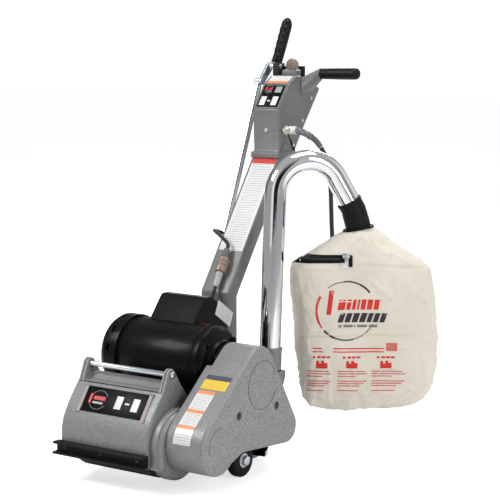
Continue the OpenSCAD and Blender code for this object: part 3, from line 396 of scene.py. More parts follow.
M = {
    "canvas": canvas_cloth(),
    "zip_teeth": zip_teeth(),
    "slider": zinc_plate("slider_nickel", (0.86, 0.86, 0.87), 0.3, grain=0.3),
    "hatch": hatch("hatched_strip", (0.62, 0.48, 0.46), (0.16, 0.14, 0.14)),
    "ink_red": printed("ink_red", (0.70, 0.035, 0.025)),
    "ink_pink": printed("ink_pink", (0.66, 0.16, 0.13)),
    "ink_dark": printed("ink_dark", (0.035, 0.03, 0.035)),
    "ink_grey": printed("ink_grey", (0.22, 0.20, 0.20)),
    "cast": hammered_paint("hammered_silver", (0.31, 0.312, 0.316), (0.16, 0.161, 0.163), 0.5, 0.3, 300, 0.0004),
    "handle": hammered_paint("handle_grey", (0.215, 0.215, 0.22), (0.125, 0.125, 0.128), 0.48, 0.25, 900, 0.0002),
    "motor": gloss_black("motor_black"),
    "box": gloss_black("box_black", (0.006, 0.005, 0.0048), 0.4, 0.0),
    "zinc": zinc_plate("zinc_plate", (0.76, 0.82, 0.86), 0.3, grain=0.4),
    "rod_zinc": zinc_plate("rod_zinc", (0.78, 0.84, 0.87), 0.2, (0.1, 1, 1), 0.15),
    "chrome": chrome_plate(),
    "steel": machined("machined_steel"),
    "alloy": machined("cast_alloy", (0.6, 0.61, 0.62), 0.45),
    "rubber": black_rubber("black_rubber"),
    "tyre": black_rubber("tyre_rubber", (0.008, 0.008, 0.0085), 0.6, 500),
    "grip": black_rubber("grip_vinyl", (0.005, 0.005, 0.0055), 0.42, 1600),
    "plastic": moulded("black_plastic", (0.008, 0.008, 0.0085)),
    "paddle": moulded("paddle_tan", (0.22, 0.18, 0.14), 0.35),
    "hub": moulded("hub_white", (0.82, 0.82, 0.80), 0.4),
    "clear": moulded("connector_amber", (0.28, 0.20, 0.15), 0.22),
    # A lighter copy of the hammered paint for the guard's outward face: painted light where that face meets the lamps
    "guard_face_painted_light": hammered_paint("hammered_silver_painted_light", (0.38, 0.38, 0.384), (0.15, 0.15, 0.152), 0.48, 0.35, 240, 0.0005),
    # Near-black hairline for the engraved grooves on the guard: painted shade of the groove
    "groove_line_painted_shade": moulded("engraved_groove_painted_shade", (0.09, 0.09, 0.092), 0.6),
    "black_screw": moulded("black_screw", (0.05, 0.05, 0.052), 0.14),
    # Near-black for the screws' cross recesses: painted shade standing for the shadow inside the slots
    "recess_painted_shade": moulded("recess_painted_shadow", (0.006, 0.006, 0.006), 0.8),
    "mark_red": moulded("mark_red", (0.62, 0.02, 0.02), 0.4),
    "mark_white": moulded("mark_white", (0.75, 0.76, 0.76), 0.4),
    "mark_silver": moulded("mark_silver", (0.36, 0.38, 0.39), 0.3),
    "label_caution": label("label_caution", (0.78, 0.77, 0.76), (0.85, 0.30, 0.12), 24, 0.93,
                           bands=((0.56, 0.62), (0.25, 0.31))),
    "label_yellow": label("label_yellow", (0.86, 0.60, 0.05), (0.06, 0.07, 0.10), 7, 0.68, (0.45, 0.30, 0.03)),
    "label_white": label("label_white", (0.78, 0.78, 0.77), (0.66, 0.05, 0.04), 40, 0.9, (0.3, 0.3, 0.32)),
    "label_red": label("label_red", (0.30, 0.20, 0.16), (0.5, 0.24, 0.16), 6, 0.7, (0.5, 0.42, 0.36)),
    "label_data": label("label_data", (0.74, 0.72, 0.75), (0.55, 0.53, 0.57), 9, 0.93, (0.2, 0.18, 0.22)),
    "label_orange": label("label_orange", (0.76, 0.75, 0.74), (0.8, 0.28, 0.08), 5, 2.0, bands=((-0.1, 0.3),)),
    "boot_grey": moulded("boot_grey", (0.16, 0.165, 0.17), 0.45),
    "clear_grey": moulded("clear_plastic", (0.45, 0.42, 0.40), 0.25),
    "gland": zinc_plate("nickel_brass", (0.80, 0.76, 0.60), 0.22, grain=0.3),
    "collar": moulded("clear_collar", (0.72, 0.66, 0.62), 0.25),
    "braid": braided("wire_braid", (0.52, 0.53, 0.54), (0.05, 0.05, 0.055), 190),
    "sleeve": black_rubber("sleeve_grey", (0.10, 0.102, 0.108), 0.4, 1400),
    "cord": black_rubber("cord_jacket", (0.03, 0.031, 0.033), 0.45, 1400),
    "grit": abrasive_cloth(),
    "tape": black_rubber("zipper_cloth", (0.006, 0.006, 0.006), 0.8, 1800),
    "panel": gloss_black("panel_black", (0.003, 0.003, 0.003), 0.34, 0.0),
}

NODE_MATERIALS = {
    "cast": ["drum_housing", "left_side_cover", "side_bearing_housing", "belt_guard", "blower_housing",
             "pipe_collar", "suction_duct"],
    "handle": ["handle_tube", "rear_frame", "head_casting", "grip_arm", "switch_block"],
    "motor": ["motor_frame", "drive_end_bell", "rear_end_bell", "fan_cover", "motor_base", "guard_plate",
              "motor_bolts"],
    "box": ["capacitor_box"],
    "zinc": ["cover_screws", "bumper_screws", "case_bolts", "lift_lever", "wheel_bracket", "caster_fork"],
    "rod_zinc": ["cross_rod", "lift_rod"],
    "steel": ["motor_rotor", "drum", "drum_shaft", "shaft_bearings", "drum_pulley", "motor_pulley",
              "blower_pulley", "zipper_slider", "stator"],
    "alloy": ["blower_wheel"],
    "chrome": ["dust_pipe"],
    "rubber": ["front_bumper", "bag_cuff", "drive_belt"],
    "grip": ["right_grip", "lever_grip"],
    "tyre": ["left_wheel", "right_wheel", "caster_wheel"],
    "plastic": ["cooling_fan", "lever_block", "plug"],
    "panel": ["name_panel", "head_name_plate"],
    "paddle": ["switch_paddle"],
    "grit": ["sanding_sleeve"],
    "tape": ["zipper_tape"],
    "gland": ["cord_gland"],
    "cord": ["power_cord", "control_cable"],
    "clear": ["cable_connector"],
}
BODY_OF = {n: b for b, nodes in frame["record"]["behaviour"]["bodies"].items() for n in nodes}
for key, nodes in NODE_MATERIALS.items():
    for n in nodes:
        mesh = frame["nodes"][n].data
        mesh.materials.clear()
        mesh.materials.append(M[key])

# ---------------------------------------------------------------- mesh building


def add(name, verts, faces, material, body, smooth=None):
    """A new piece from points in the row frame; smooth is the angle under which edges shade smooth."""
    mesh = bpy.data.meshes.new(name)
    mesh.from_pydata([tuple(v) for v in verts], [], faces)
    mesh.materials.append(M[material] if isinstance(material, str) else material)
    tidy = bmesh.new()
    tidy.from_mesh(mesh)
    bmesh.ops.recalc_face_normals(tidy, faces=tidy.faces)
    tidy.to_mesh(mesh)
    tidy.free()
    piece = bpy.data.objects.new(name, mesh)
    scene.collection.objects.link(piece)
    shade(piece, 35 if smooth is None else smooth)
    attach(piece, body)
    return piece


def shade(piece, angle):
    mesh = piece.data
    for polygon in mesh.polygons:
        polygon.use_smooth = True
    mesh.set_sharp_from_angle(angle=math.radians(angle))


def apply_modifiers(piece):
    bpy.context.view_layer.update()
    graph = bpy.context.evaluated_depsgraph_get()
    mesh = bpy.data.meshes.new_from_object(piece.evaluated_get(graph))
    piece.modifiers.clear()
    old = piece.data
    piece.data = mesh
    bpy.data.meshes.remove(old)


def loft(rings, closed_ends=True):
    """Faces between rings of equal count; returns points and faces."""
    count = len(rings[0])
    verts = [v for ring in rings for v in ring]
    faces = []
    for i in range(len(rings) - 1):
        for j in range(count):
            k = (j + 1) % count
            faces.append((i * count + j, i * count + k, (i + 1) * count + k, (i + 1) * count + j))
    if closed_ends:
        faces.append(tuple(range(count)))
        faces.append(tuple((len(rings) - 1) * count + j for j in range(count)))
    return verts, faces


def smooth_path(points, steps=6):
    """A Catmull-Rom curve through the points."""
    p = [Vector(q) for q in points]
    p = [p[0] * 2 - p[1]] + p + [p[-1] * 2 - p[-2]]
    out = []
    for i in range(1, len(p) - 2):
        for s in range(steps):
            t = s / steps
            out.append(0.5 * ((2 * p[i]) + (p[i + 1] - p[i - 1]) * t
                              + (2 * p[i - 1] - 5 * p[i] + 4 * p[i + 1] - p[i + 2]) * t * t
                              + (3 * p[i] - 3 * p[i + 1] + p[i + 2] - p[i - 1]) * t ** 3))
    return out + [p[-2]]


def path_rings(path, radius, sides=20):
    """Circles square to a path, carried along it without twisting; radius is a number or a list, in metres."""
    rings = []
    side = None
    for i, point in enumerate(path):
        along = (path[min(i + 1, len(path) - 1)] - path[max(i - 1, 0)]).normalized()
        if side is None:
            side = along.orthogonal().normalized()
        side = (side - along * side.dot(along)).normalized()
        other = along.cross(side)
        r = radius[i] if isinstance(radius, (list, tuple)) else radius
        rings.append([point + r * (side * math.cos(a) + other * math.sin(a))
                      for a in round_angles(sides)])
    return rings


def tube(name, path, radius, material, body, sides=20):
    verts, faces = loft(path_rings(path, radius, sides))
    return add(name, verts, faces, material, body)


def turned(name, start, axis, profile, material, body, sides=64, smooth=None):
    """A body of revolution: profile is (distance along the axis, radius) in millimetres."""
    axis = Vector(axis).normalized()
    side = axis.orthogonal().normalized()
    other = axis.cross(side)
    rings = [[start + axis * mm(d) + mm(max(r, 0.01)) * (side * math.cos(a) + other * math.sin(a))
              for a in round_angles(sides)] for d, r in profile]
    verts, faces = loft(rings)
    return add(name, verts, faces, material, body, smooth)


def round_angles(steps, count=None):
    """Angles of a circle in equal steps; count + 1 of them close it."""
    return [2 * math.pi * k / steps for k in range(steps if count is None else count)]


def arc(cy, cz, r, start, stop, steps):
    return [(cy + r * math.cos(math.radians(start + (stop - start) * i / steps)),
             cz + r * math.sin(math.radians(start + (stop - start) * i / steps))) for i in range(steps + 1)]


def offset(outline, d):
    """A closed outline moved outwards by d along its corner normals (anticlockwise outline)."""
    out = []
    count = len(outline)
    for i in range(count):
        a, b, c = (Vector(outline[(i + k) % count]) for k in (-1, 0, 1))
        e = (b - a).normalized()
        f = (c - b).normalized()
        n = Vector((e.y + f.y, -e.x - f.x))
        out.append(tuple(b + n * d / max(0.35, 1 + e.dot(f))))
    return out


def slab(outline, x0, x1, round0=0.0, round1=0.0, steps=5):
    """An outline in y-z made solid from x0 to x1, its rims rounded; returns rings of points."""
    rings = []
    for i in range(steps + 1 if round0 else 1):
        a = math.pi / 2 * i / steps
        shrink = round0 * (1 - math.sin(a))
        rings.append([at(x0 + round0 * (1 - math.cos(a)), y, z) for y, z in offset(outline, -shrink)])
    for i in range(steps + 1 if round1 else 1):
        a = math.pi / 2 * (1 - i / steps) if round1 else 0
        shrink = round1 * (1 - math.sin(a)) if round1 else 0
        rings.append([at(x1 - (round1 * (1 - math.cos(a)) if round1 else 0), y, z)
                      for y, z in offset(outline, -shrink)])
    return rings


# ---------------------------------------------------------------- cords
def route(*points):
    return [at(*p) for p in points]


CORD_R = 5.25
cord_path = smooth_path(route(
    (128.5, 438.4, 708.8), (136, 443, 692), (141, 446, 672), (145, 448, 650), (148, 449, 626), (150, 450, 600),
    (151, 450, 574), (152, 450, 548), (153, 450, 522), (154, 451, 496), (155, 451, 470), (156, 452, 444),
    (157, 452, 418), (158, 453, 392), (158, 453, 366), (159, 454, 340), (159, 454, 314), (160, 455, 288),
    (160, 455, 262), (160, 455, 236), (160, 455, 212)), 5)
cord = tube("power_cord_flex", cord_path, mm(CORD_R), "cord", "chassis", 24)
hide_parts("power_cord")

relief_path = smooth_path(route(
    (62, 410, 750), (76, 411, 750), (90, 415, 746), (104, 422, 738), (117, 431, 726), (128, 438, 710)), 8)
relief_r = [mm(8.8 - 1.4 * i / (len(relief_path) - 1)) for i in range(len(relief_path))]
SPLICE = 26
relief = tube("mesh_grip", relief_path[:SPLICE + 1], relief_r[:SPLICE + 1], "braid", "chassis", 28)
SLEEVE_START, SLEEVE_TAPER, TAPER_FROM = 6.9, 1.3, 10
sleeve_rings = len(relief_path) - SPLICE
sleeve_r = [mm(SLEEVE_START - SLEEVE_TAPER * max(0.0, (i - TAPER_FROM) / (sleeve_rings - TAPER_FROM - 1)) ** 2)
            for i in range(sleeve_rings)]
relief_sleeve = tube("grip_sleeve", relief_path[SPLICE:], sleeve_r, "sleeve", "chassis", 28)
splice_ring = tube("grip_splice", relief_path[SPLICE - 1:SPLICE + 2], mm(8.7), "braid", "chassis", 28)
turned("gland_nut", at(38.2, 410, 750), (1, 0, 0),
       [(0, 11.2), (0.6, 12), (7.4, 12), (8, 11.2)], "gland", "chassis", 6, 20)
turned("gland_collar", at(46.4, 410, 750), (1, 0, 0),
       [(0, 9), (0, 9.6), (1, 10.2), (5.6, 10.2), (6.2, 9.6), (6.2, 9)], "collar", "chassis", 48)
gland_cap = turned("gland_cap", at(52.6, 410, 750), (1, 0, 0),
                   [(0, 9.8), (0.7, 10.5), (7, 10.5), (8.6, 9.6), (10.4, 8.9), (11.2, 8)],
                   "gland", "chassis", 12, 20)
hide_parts("cord_gland")
sleeve_ring = turned("gland_sleeve", at(61, 410.1, 750), (1, 0.04, -0.02),
                     [(0, 9), (0.4, 9.9), (1.6, 10.2), (11, 10), (14, 9.7), (14.8, 9)],
                     "collar", "chassis", 48)


# Plug: rounded body with a waist, a cord guard, two blades and the ground pin
PLUG = at(160, 455, 212)
plug_body = turned("plug_body", PLUG, (0, 0, -1), [
    (0, 6.2), (0.5, 8.6), (6, 9), (10, 9.6), (14, 11.5), (17, 14.2), (20, 15.6), (26, 15.9), (31, 15.4),
    (36, 16.2), (40.6, 16.9), (41.8, 16.4), (42, 15.4)], "plastic", "chassis", 56)
blades = []
for x in (153.65, 166.35):
    ring = [(x - 0.75, 451.8), (x + 0.75, 451.8), (x + 0.75, 458.2), (x - 0.75, 458.2)]
    verts, faces = loft([[at(px, py, z) for px, py in ring] for z in (170, 155)]
                        + [[at(x + (px - x) * 0.4, 455 + (py - 455) * 0.8, 154) for px, py in ring]])
    blades.append(add(f"plug_blade_{len(blades)}", verts, faces, "gland", "chassis", 20))
ground = turned("ground_pin", at(160, 464, 170), (0, 0, -1),
                [(0, 2.4), (18.6, 2.4), (19.6, 1.8), (20, 0.8)], "gland", "chassis", 24)
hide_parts("plug")

# Control cable and its connector on the handle: held at both ends
cable_path = smooth_path(route(
    (-40, 278, 500), (-50, 277, 503), (-57, 266, 508), (-55, 250, 512), (-44, 236, 512), (-28, 229, 506),
    (-15, 228, 497), (-5, 228.5, 489), (1.4, 225.6, 480.7), (1.99, 221.1, 474.2)), 8)
lead_path = smooth_path(route(
    (9, 162.9, 389.8), (9.5, 158.5, 383.4), (9, 155, 376), (8, 152, 367), (6, 147, 356), (4, 138, 348.5),
    (3, 127, 347)), 8)
upper_lead = tube("control_cable_upper", cable_path, mm(4.2), "cord", "chassis", 24)
tube("control_cable_lower", lead_path, mm(4.2), "cord", "chassis", 24)
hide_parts("control_cable")
PLUG_TOP, PLUG_END = at(2, 221, 474), at(9, 163, 390)
plug_axis = PLUG_END - PLUG_TOP
plug_long = plug_axis.length * 1000
boot = [(0, 5.2)]
for i in range(5):
    d = 1 + i * 4.6
    boot += [(d, 7 + 0.7 * i), (d + 2.6, 7.2 + 0.7 * i), (d + 3.0, 5.8 + 0.7 * i), (d + 4.2, 5.8 + 0.7 * i)]
BOOT_SHARE = 0.26
boot += [(24.4, 11.2), (plug_long * BOOT_SHARE, 11.5)]
turned("connector_boot", PLUG_TOP, plug_axis, boot, "boot_grey", "chassis", 40, 28)
body = [(0, 11), (0, 12.8), (1.2, 13.8), (4, 14), (9, 14), (10, 13), (12, 13), (13, 14), (19, 14), (20, 13),
        (22, 13), (23, 14), (33, 14), (35, 13.6), (36.6, 12.2), (36.8, 9)]
connector = turned("connector_body", PLUG_TOP + plug_axis * BOOT_SHARE, plug_axis, body,
                   "clear", "chassis", 48, 28)
tail_part = [(0, 8), (1, 8.8), (12, 8.6), (14, 7.6), (18, 7.4), (20, 8.2), (28, 7.8), (36, 7), (39, 6)]
turned("connector_tail", PLUG_TOP + plug_axis * 0.62, plug_axis, tail_part,
       "clear_grey", "chassis", 40, 28)
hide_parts("cable_connector")

# ---------------------------------------------------------------- castings and other hard pieces


def face_reach(face, edge):
    """How far a face runs back from one of its edges, as room for rounding that edge."""
    if len(face.verts) > 4:
        return 2 * face.calc_area() / max(1e-9, face.calc_perimeter())
    a, b = (v.co for v in edge.verts)
    d = (b - a).normalized()
    return max(((v.co - a) - d * (v.co - a).dot(d)).length for v in face.verts)


def rounded_copy(node, width, segments=3, angle=30, wide=None, wide_mm=0):
    """The CAD node's own shape with its edges rounded as far as its walls allow: it stands for the node.
    wide(edge) picks edges with their own, larger radius of wide_mm."""
    mesh = frame["nodes"][node].data.copy()
    form = bmesh.new()
    form.from_mesh(mesh)
    bmesh.ops.remove_doubles(form, verts=form.verts, dist=0.00002)
    bmesh.ops.dissolve_limit(form, angle_limit=math.radians(0.6), verts=form.verts, edges=form.edges)
    if wide:
        edges = [e for e in form.edges if len(e.link_faces) == 2 and wide(e)]
        bmesh.ops.bevel(form, geom=edges, offset=mm(wide_mm), offset_type="OFFSET", segments=7,
                        profile=0.5, affect="EDGES", clamp_overlap=False)
        bmesh.ops.remove_doubles(form, verts=form.verts, dist=0.00002)
    weights = form.edges.layers.float.new("bevel_weight_edge")
    limit = math.radians(angle)
    for edge in form.edges:
        if len(edge.link_faces) != 2 or edge.calc_face_angle(0) < limit:
            continue
        room = 0.36 * min(face_reach(f, edge) for f in edge.link_faces)
        edge[weights] = min(1.0, room / mm(width))
    form.to_mesh(mesh)
    form.free()
    piece = bpy.data.objects.new(node + "_shape", mesh)
    scene.collection.objects.link(piece)
    bevel = piece.modifiers.new("edges", "BEVEL")
    bevel.width = mm(width)
    bevel.segments = segments
    bevel.limit_method = "WEIGHT"
    bevel.use_clamp_overlap = False
    apply_modifiers(piece)
    shade(piece, 38)
    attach(piece, BODY_OF[node])
    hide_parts(node)
    return piece


def machine(point):
    """A row-frame point back in machine-frame millimetres."""
    return (Vector(point) - ORIGIN) * 1000


for node, width in {
    "left_side_cover": 2.2, "blower_housing": 3.0, "suction_duct": 1.5, "pipe_collar": 1.0,
    "motor_frame": 0.8, "drive_end_bell": 2.2, "rear_end_bell": 2.0, "fan_cover": 1.6, "motor_base": 1.5,
    "guard_plate": 0.8, "handle_tube": 4.0, "rear_frame": 2.2, "head_casting": 3.0, "switch_block": 1.5,
    "grip_arm": 2.0, "front_bumper": 1.2, "lift_lever": 0.8, "lift_rod": 0.8, "wheel_bracket": 0.9,
    "caster_fork": 0.8, "case_bolts": 0.7, "motor_bolts": 0.7, "lever_block": 1.4, "cross_rod": 0.8,
    "cover_screws": 0.8, "switch_paddle": 1.0, "name_panel": 0.5, "head_name_plate": 0.5,
}.items():
    rounded_copy(node, width, 3 if width > 1 else 2)

HOUSING_END = max(machine(v.co).x for v in frame["nodes"]["drum_housing"].data.vertices)


def housing_rim(edge):
    """Edges of the right end's front and upper outline."""
    a, b = (machine(v.co) for v in edge.verts)
    if min(a.x, b.x) < HOUSING_END - 0.05 or max(a.z, b.z) > 212 or min(a.z, b.z) < 60:
        return False
    return all(math.hypot(p.y - DRUM_Y, p.z - DRUM_Z) > 60 for p in (a, b)) and max(a.y, b.y) < -176


rounded_copy("drum_housing", 2.4, 4, wide=housing_rim, wide_mm=4.5)


def arch_rim(edge):
    a, b = (machine(v.co) for v in edge.verts)
    if abs(a.x - b.x) > 0.1 or a.x < 130:
        return False
    return all(Vector((p.y - DRUM_Y, p.z - DRUM_Z - 2)).length > 70 or p.z < DRUM_Z for p in (a, b))


rounded_copy("side_bearing_housing", 1.2, 3, wide=arch_rim, wide_mm=4.6)


# Belt guard: a broad round along its outer face, which takes a lighter copy of the paint as painted light
def tangent_angle(a, b):
    return math.atan2(b[1] - a[1], b[0] - a[0]) - math.acos((a[2] - b[2]) / math.hypot(b[0] - a[0], b[1] - a[1]))


FRONT_LOBE, TOP_LOBE = (-150, 107, 64), (4, 248, 52)
HOLES = ((-81, 161), (65, 156))
GUARD_X = 248


def guard_rim(edge):
    a, b = (machine(v.co) for v in edge.verts)
    if a.x < GUARD_X - 0.05 or b.x < GUARD_X - 0.05:
        return False
    return all(math.hypot(p.y - y, p.z - z) > 14 for p in (a, b) for y, z in HOLES)


guard = rounded_copy("belt_guard", 1.6, 3, wide=guard_rim, wide_mm=9)
# Faces turned outwards (+x) take the lighter copy of the paint: painted light on the lit face
guard.data.materials.append(M["guard_face_painted_light"])
for polygon in guard.data.polygons:
    if polygon.normal.x > 0.5:
        polygon.material_index = 1


def ring_mark(name, x, cy, cz, radius, start, stop, thick, material):
    """A raised hairline on the guard's face, dark: painted shade standing for an engraved groove."""
    points = [at(x, y, z) for y, z in arc(cy, cz, radius, start, stop, 60)]
    return tube(name, points, mm(thick), material, "chassis", 8)


ring_mark("guard_ring", GUARD_X + 0.1, 8, 213, 54, 20, 338, 0.7, "groove_line_painted_shade")
ring_mark("guard_arc", GUARD_X + 0.1, -150, 107, 42, 75, 195, 0.6, "groove_line_painted_shade")

# Capacitor box: folded sheet with soft corners
box_outline = [(4, 300), (92, 258), (146, 322), (146, 338), (70, 385), (50, 385), (44, 380), (-8, 318)]


def filleted(outline, radius, steps=5):
    """The same closed outline with each corner turned into an arc."""
    out = []
    count = len(outline)
    for i in range(count):
        a, b, c = (Vector(outline[(i + k) % count]) for k in (-1, 0, 1))
        e, f = (a - b), (c - b)
        half = e.angle(f) / 2
        cut = min(radius / math.tan(half), 0.48 * e.length, 0.48 * f.length)
        p, q = b + e.normalized() * cut, b + f.normalized() * cut
        for s in range(steps + 1):
            t = s / steps
            out.append(tuple(p * (1 - t) ** 2 + b * 2 * t * (1 - t) + q * t * t))
    return out


verts, faces = loft(slab(filleted(box_outline, 13), -64, 66, 5, 5))
box = add("capacitor_box_shell", verts, faces, "box", "chassis", 40)
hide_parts("capacitor_box")
turned("lead_grommet", at(3.5, 132.4, 347.8), (0, -1, -0.12),
       [(-11, 4.4), (-10.6, 5.4), (-6, 5.9), (-4, 7.6), (-1, 8.4), (7, 8.4)], "rubber", "chassis",
       32)

# Chrome pipe: riser, arch and leg in one smooth tube
LEAN = math.radians(3.5)
YAW = math.radians(50)
ARCH_R, STRAIGHT, ARCH_TURN, LEG = 80, 397, 148, 85
up = Vector((0, math.sin(LEAN), math.cos(LEAN)))
out = Vector((math.cos(YAW), math.sin(YAW) * math.cos(LEAN), -math.sin(YAW) * math.sin(LEAN)))
FOOT = Vector((130, 211, 214))


def arch_dir(turn):
    a = math.radians(turn)
    return out * math.sin(a) + up * math.cos(a)


arch_start = FOOT + up * STRAIGHT
pipe_points = [FOOT + up * s for s in (0, 60, 140, 220, 300, 370)]
pipe_points += [arch_start + up * ARCH_R * math.sin(math.radians(a)) + out * ARCH_R * (1 - math.cos(math.radians(a)))
                for a in [ARCH_TURN * i / 44 for i in range(45)]]
leg_end = pipe_points[-1] + arch_dir(ARCH_TURN) * LEG
pipe_points += [leg_end - arch_dir(ARCH_TURN) * s for s in (60, 30, 0)]
pipe = tube("dust_pipe_chrome", [at(*p) for p in pipe_points], mm(PIPE_R), "chrome", "chassis", 72)
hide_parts("dust_pipe")

# Rubber cuff: lipped at both ends, with a soft bend
cuff_bend = leg_end + arch_dir(ARCH_TURN) * 2
NECK = cuff_bend + arch_dir(161) * 36
cuff_line = [leg_end - arch_dir(ARCH_TURN) * s for s in (22, 21.2, 18, 16.6, 10, 4)]
cuff_line += [cuff_bend + arch_dir(154.5) * 1.5]
cuff_line += [cuff_bend + arch_dir(161) * s for s in (7, 14, 22, 29, 33, 36, 46, 52)]
cuff_radii = [27.2, 29.8, 30.4, 29.2, 28.6, 28.7, 29.1, 29.4, 29.6, 29.6, 29.8, 30.0, 29.8, 29.2, 27.6]
cuff = tube("cuff_rubber", [at(*p) for p in cuff_line], [mm(r) for r in cuff_radii], "rubber", "chassis",
            64)
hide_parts("bag_cuff")


# Wheels: rubber tyre with a moulded white hub
def wheel(name, x, body):
    y, z = 0, 38
    tyre = turned(name + "_tyre", at(x, y, z), (1, 0, 0), [
        (2, 15.2), (0.8, 17), (0.2, 19), (0, 24), (0.5, 25), (0, 26), (0, 30), (0.8, 33.6), (2.4, 36.2), (5, 37.7),
        (8, 38), (11.8, 38), (12.5, 37.6), (13.2, 38), (17, 38), (20, 37.7), (22.6, 36.2), (24.2, 33.6), (25, 30),
        (25, 26), (24.5, 25), (25, 24), (24.8, 19), (24.2, 17), (23, 15.2)], "tyre", body, 72, 30)
    turned(name + "_hub", at(x, y, z), (1, 0, 0), [
        (1.8, 8.4), (1.6, 9.6), (1.2, 11), (0.8, 14.2), (1.0, 15.8), (2.6, 16.6), (22.4, 16.6), (24.0, 15.8),
        (24.2, 14.2), (23.8, 11), (23.4, 9.6), (23.2, 8.4)], "hub", body, 56, 30)
    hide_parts(name)


wheel("left_wheel", -165, "left_wheel")
wheel("right_wheel", 180, "right_wheel")
caster = turned("caster_tyre", at(-12, 235, 28), (1, 0, 0), [
    (0.6, 6), (0.6, 9), (1.6, 10), (1.6, 15), (0.2, 17), (0, 22), (1, 25.6), (3.4, 27.6), (6, 28), (18, 28),
    (20.6, 27.6), (23, 25.6), (24, 22), (23.8, 17), (22.4, 15), (22.4, 10), (23.4, 9), (23.4, 6)],
    "tyre", "caster_wheel", 64, 30)
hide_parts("caster_wheel")

# Drum's cloth: one wrap
sleeve = turned("sanding_cloth", at(-100.5, DRUM_Y, DRUM_Z), (1, 0, 0),
                [(0, 74.4), (0.6, 75.6), (1.6, 76), (199.4, 76), (200.4, 75.6), (201, 74.4)], "grit", "drum_unit",
                96, 30)
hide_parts("sanding_sleeve")


# Grips
def lever_handle():
    low, high = Vector((515, 912)), Vector((563, 1013))
    line = (high - low).normalized()
    front = Vector((-line.y, line.x))
    length = (high - low).length + 13
    rings = []
    steps = 76
    for i in range(steps + 1):
        s = length * i / steps
        t = i / steps
        base = 13.2 + 1.6 * math.sin(math.pi * min(1.0, t * 0.62 + 0.1))
        if t > 0.84:
            base *= math.sqrt(max(0.0, 1 - ((t - 0.84) / 0.16) ** 1.6 * 0.9))
        if t < 0.05:
            base *= 0.86 + 2.8 * t
        wave = 0.0
        if 0.12 < t < 0.9:
            wave = 2.4 * (0.5 - 0.5 * math.cos(2 * math.pi * (t - 0.12) / 0.156))
        ring = []
        for k in range(40):
            a = 2 * math.pi * k / 40
            facing = max(0.0, math.cos(a)) ** 1.5
            r = base - wave * facing
            c = low + line * s + front * (r * math.cos(a))
            ring.append(at(-52.5 + r * math.sin(a) * 0.94, c.x, c.y))
        rings.append(ring)
    verts, faces = loft(rings)
    piece = add("lever_grip_vinyl", verts, faces, "grip", "lever", 50)
    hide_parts("lever_grip")


lever_handle()
grip = turned("right_grip_vinyl", at(66.2, 540, 886), (1, 0, 0), [
    (0, 9.4), (0, 11.6), (0.8, 12.6), (2.4, 13.2), (6, 13.5), (20, 13.7), (50, 14.2), (84, 14.4),
    (94, 14.4), (99, 14), (102.6, 12.9), (105.4, 10.8), (107, 7.8), (107.6, 4), (107.8, 0)],
    "grip", "chassis", 56, 40)
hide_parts("right_grip")


# Bumper screws: domed heads; each cross recess is drawn as two near-black blocks, painted shade in place of a cut
def cross_head(name, place, axis, radius, high, material="steel", body="chassis"):
    head = turned(name, place, axis, [(-0.3, radius * 0.96), (0.3, radius), (high * 0.5, radius * 0.93),
                                      (high * 0.85, radius * 0.66), (high, radius * 0.3), (high, 0)],
                  material, body, 32, 50)
    axis = Vector(axis).normalized()
    side = axis.orthogonal().normalized()
    other = axis.cross(side)
    lift = place + axis * mm(high * 0.86)
    for n, (u, v) in enumerate(((side, other), (other, side))):
        corners = [lift + u * mm(p * radius * 0.5) + v * mm(q * radius * 0.11)
                   for p, q in ((-1, -1), (1, -1), (1, 1), (-1, 1))]
        rings = [corners, [c + axis * mm(high * 0.2) for c in corners]]
        cv, cf = loft(rings)
        # Near-black blocks over the dome: painted shade of the cross recess
        add(f"{name}_cross_{n}", cv, cf, "recess_painted_shade", body, 20)
    return head


heads = [cross_head(f"bumper_screw_{i}", at(x, -250, 76), (0, -1, 0), 5.2, 3.1, "black_screw")
         for i, x in enumerate((-100, 0, 100))]
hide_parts("bumper_screws")


# ---------------------------------------------------------------- stickers and plates
def sheet_grid(name, corner_rows, material, body="chassis"):
    """A thin printed sheet through rows of points, with its own 0-1 coordinates: u across, v along."""
    rows, cols = len(corner_rows), len(corner_rows[0])
    verts = [p for row in corner_rows for p in row]
    faces = [(r * cols + c, r * cols + c + 1, (r + 1) * cols + c + 1, (r + 1) * cols + c)
             for r in range(rows - 1) for c in range(cols - 1)]
    mesh = bpy.data.meshes.new(name)
    mesh.from_pydata([tuple(v) for v in verts], [], faces)
    layer = mesh.uv_layers.new(name="UVMap")
    for loop in mesh.loops:
        r, c = divmod(loop.vertex_index, cols)
        layer.data[loop.index].uv = (c / (cols - 1), r / (rows - 1))
    mesh.materials.append(M[material])
    piece = bpy.data.objects.new(name, mesh)
    scene.collection.objects.link(piece)
    for polygon in mesh.polygons:
        polygon.use_smooth = True
    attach(piece, body)
    return piece


def flat_sticker(name, corner, across, along, material, lift=0.0003, body="chassis"):
    corner, across, along = Vector(corner), Vector(across), Vector(along)
    normal = across.cross(along).normalized() * lift
    rows = [[corner + normal + across * (c / 4) + along * (r / 6) for c in range(5)] for r in range(7)]
    return sheet_grid(name, rows, material, body)


down = tangent_angle(TOP_LOBE, FRONT_LOBE)
band_low = Vector((FRONT_LOBE[0] + FRONT_LOBE[2] * math.cos(down), FRONT_LOBE[1] + FRONT_LOBE[2] * math.sin(down)))
band_high = Vector((TOP_LOBE[0] + TOP_LOBE[2] * math.cos(down), TOP_LOBE[1] + TOP_LOBE[2] * math.sin(down)))
band_dir = (band_high - band_low).normalized()


def band_point(s, lift):
    """A point of the guard's front band, s millimetres up from the end of the lower curve."""
    if s >= 0:
        p = band_low + band_dir * s
        a = down
    else:
        a = down - s / FRONT_LOBE[2]
        p = Vector((FRONT_LOBE[0] + FRONT_LOBE[2] * math.cos(a), FRONT_LOBE[1] + FRONT_LOBE[2] * math.sin(a)))
    return p + Vector((math.cos(a), math.sin(a))) * lift


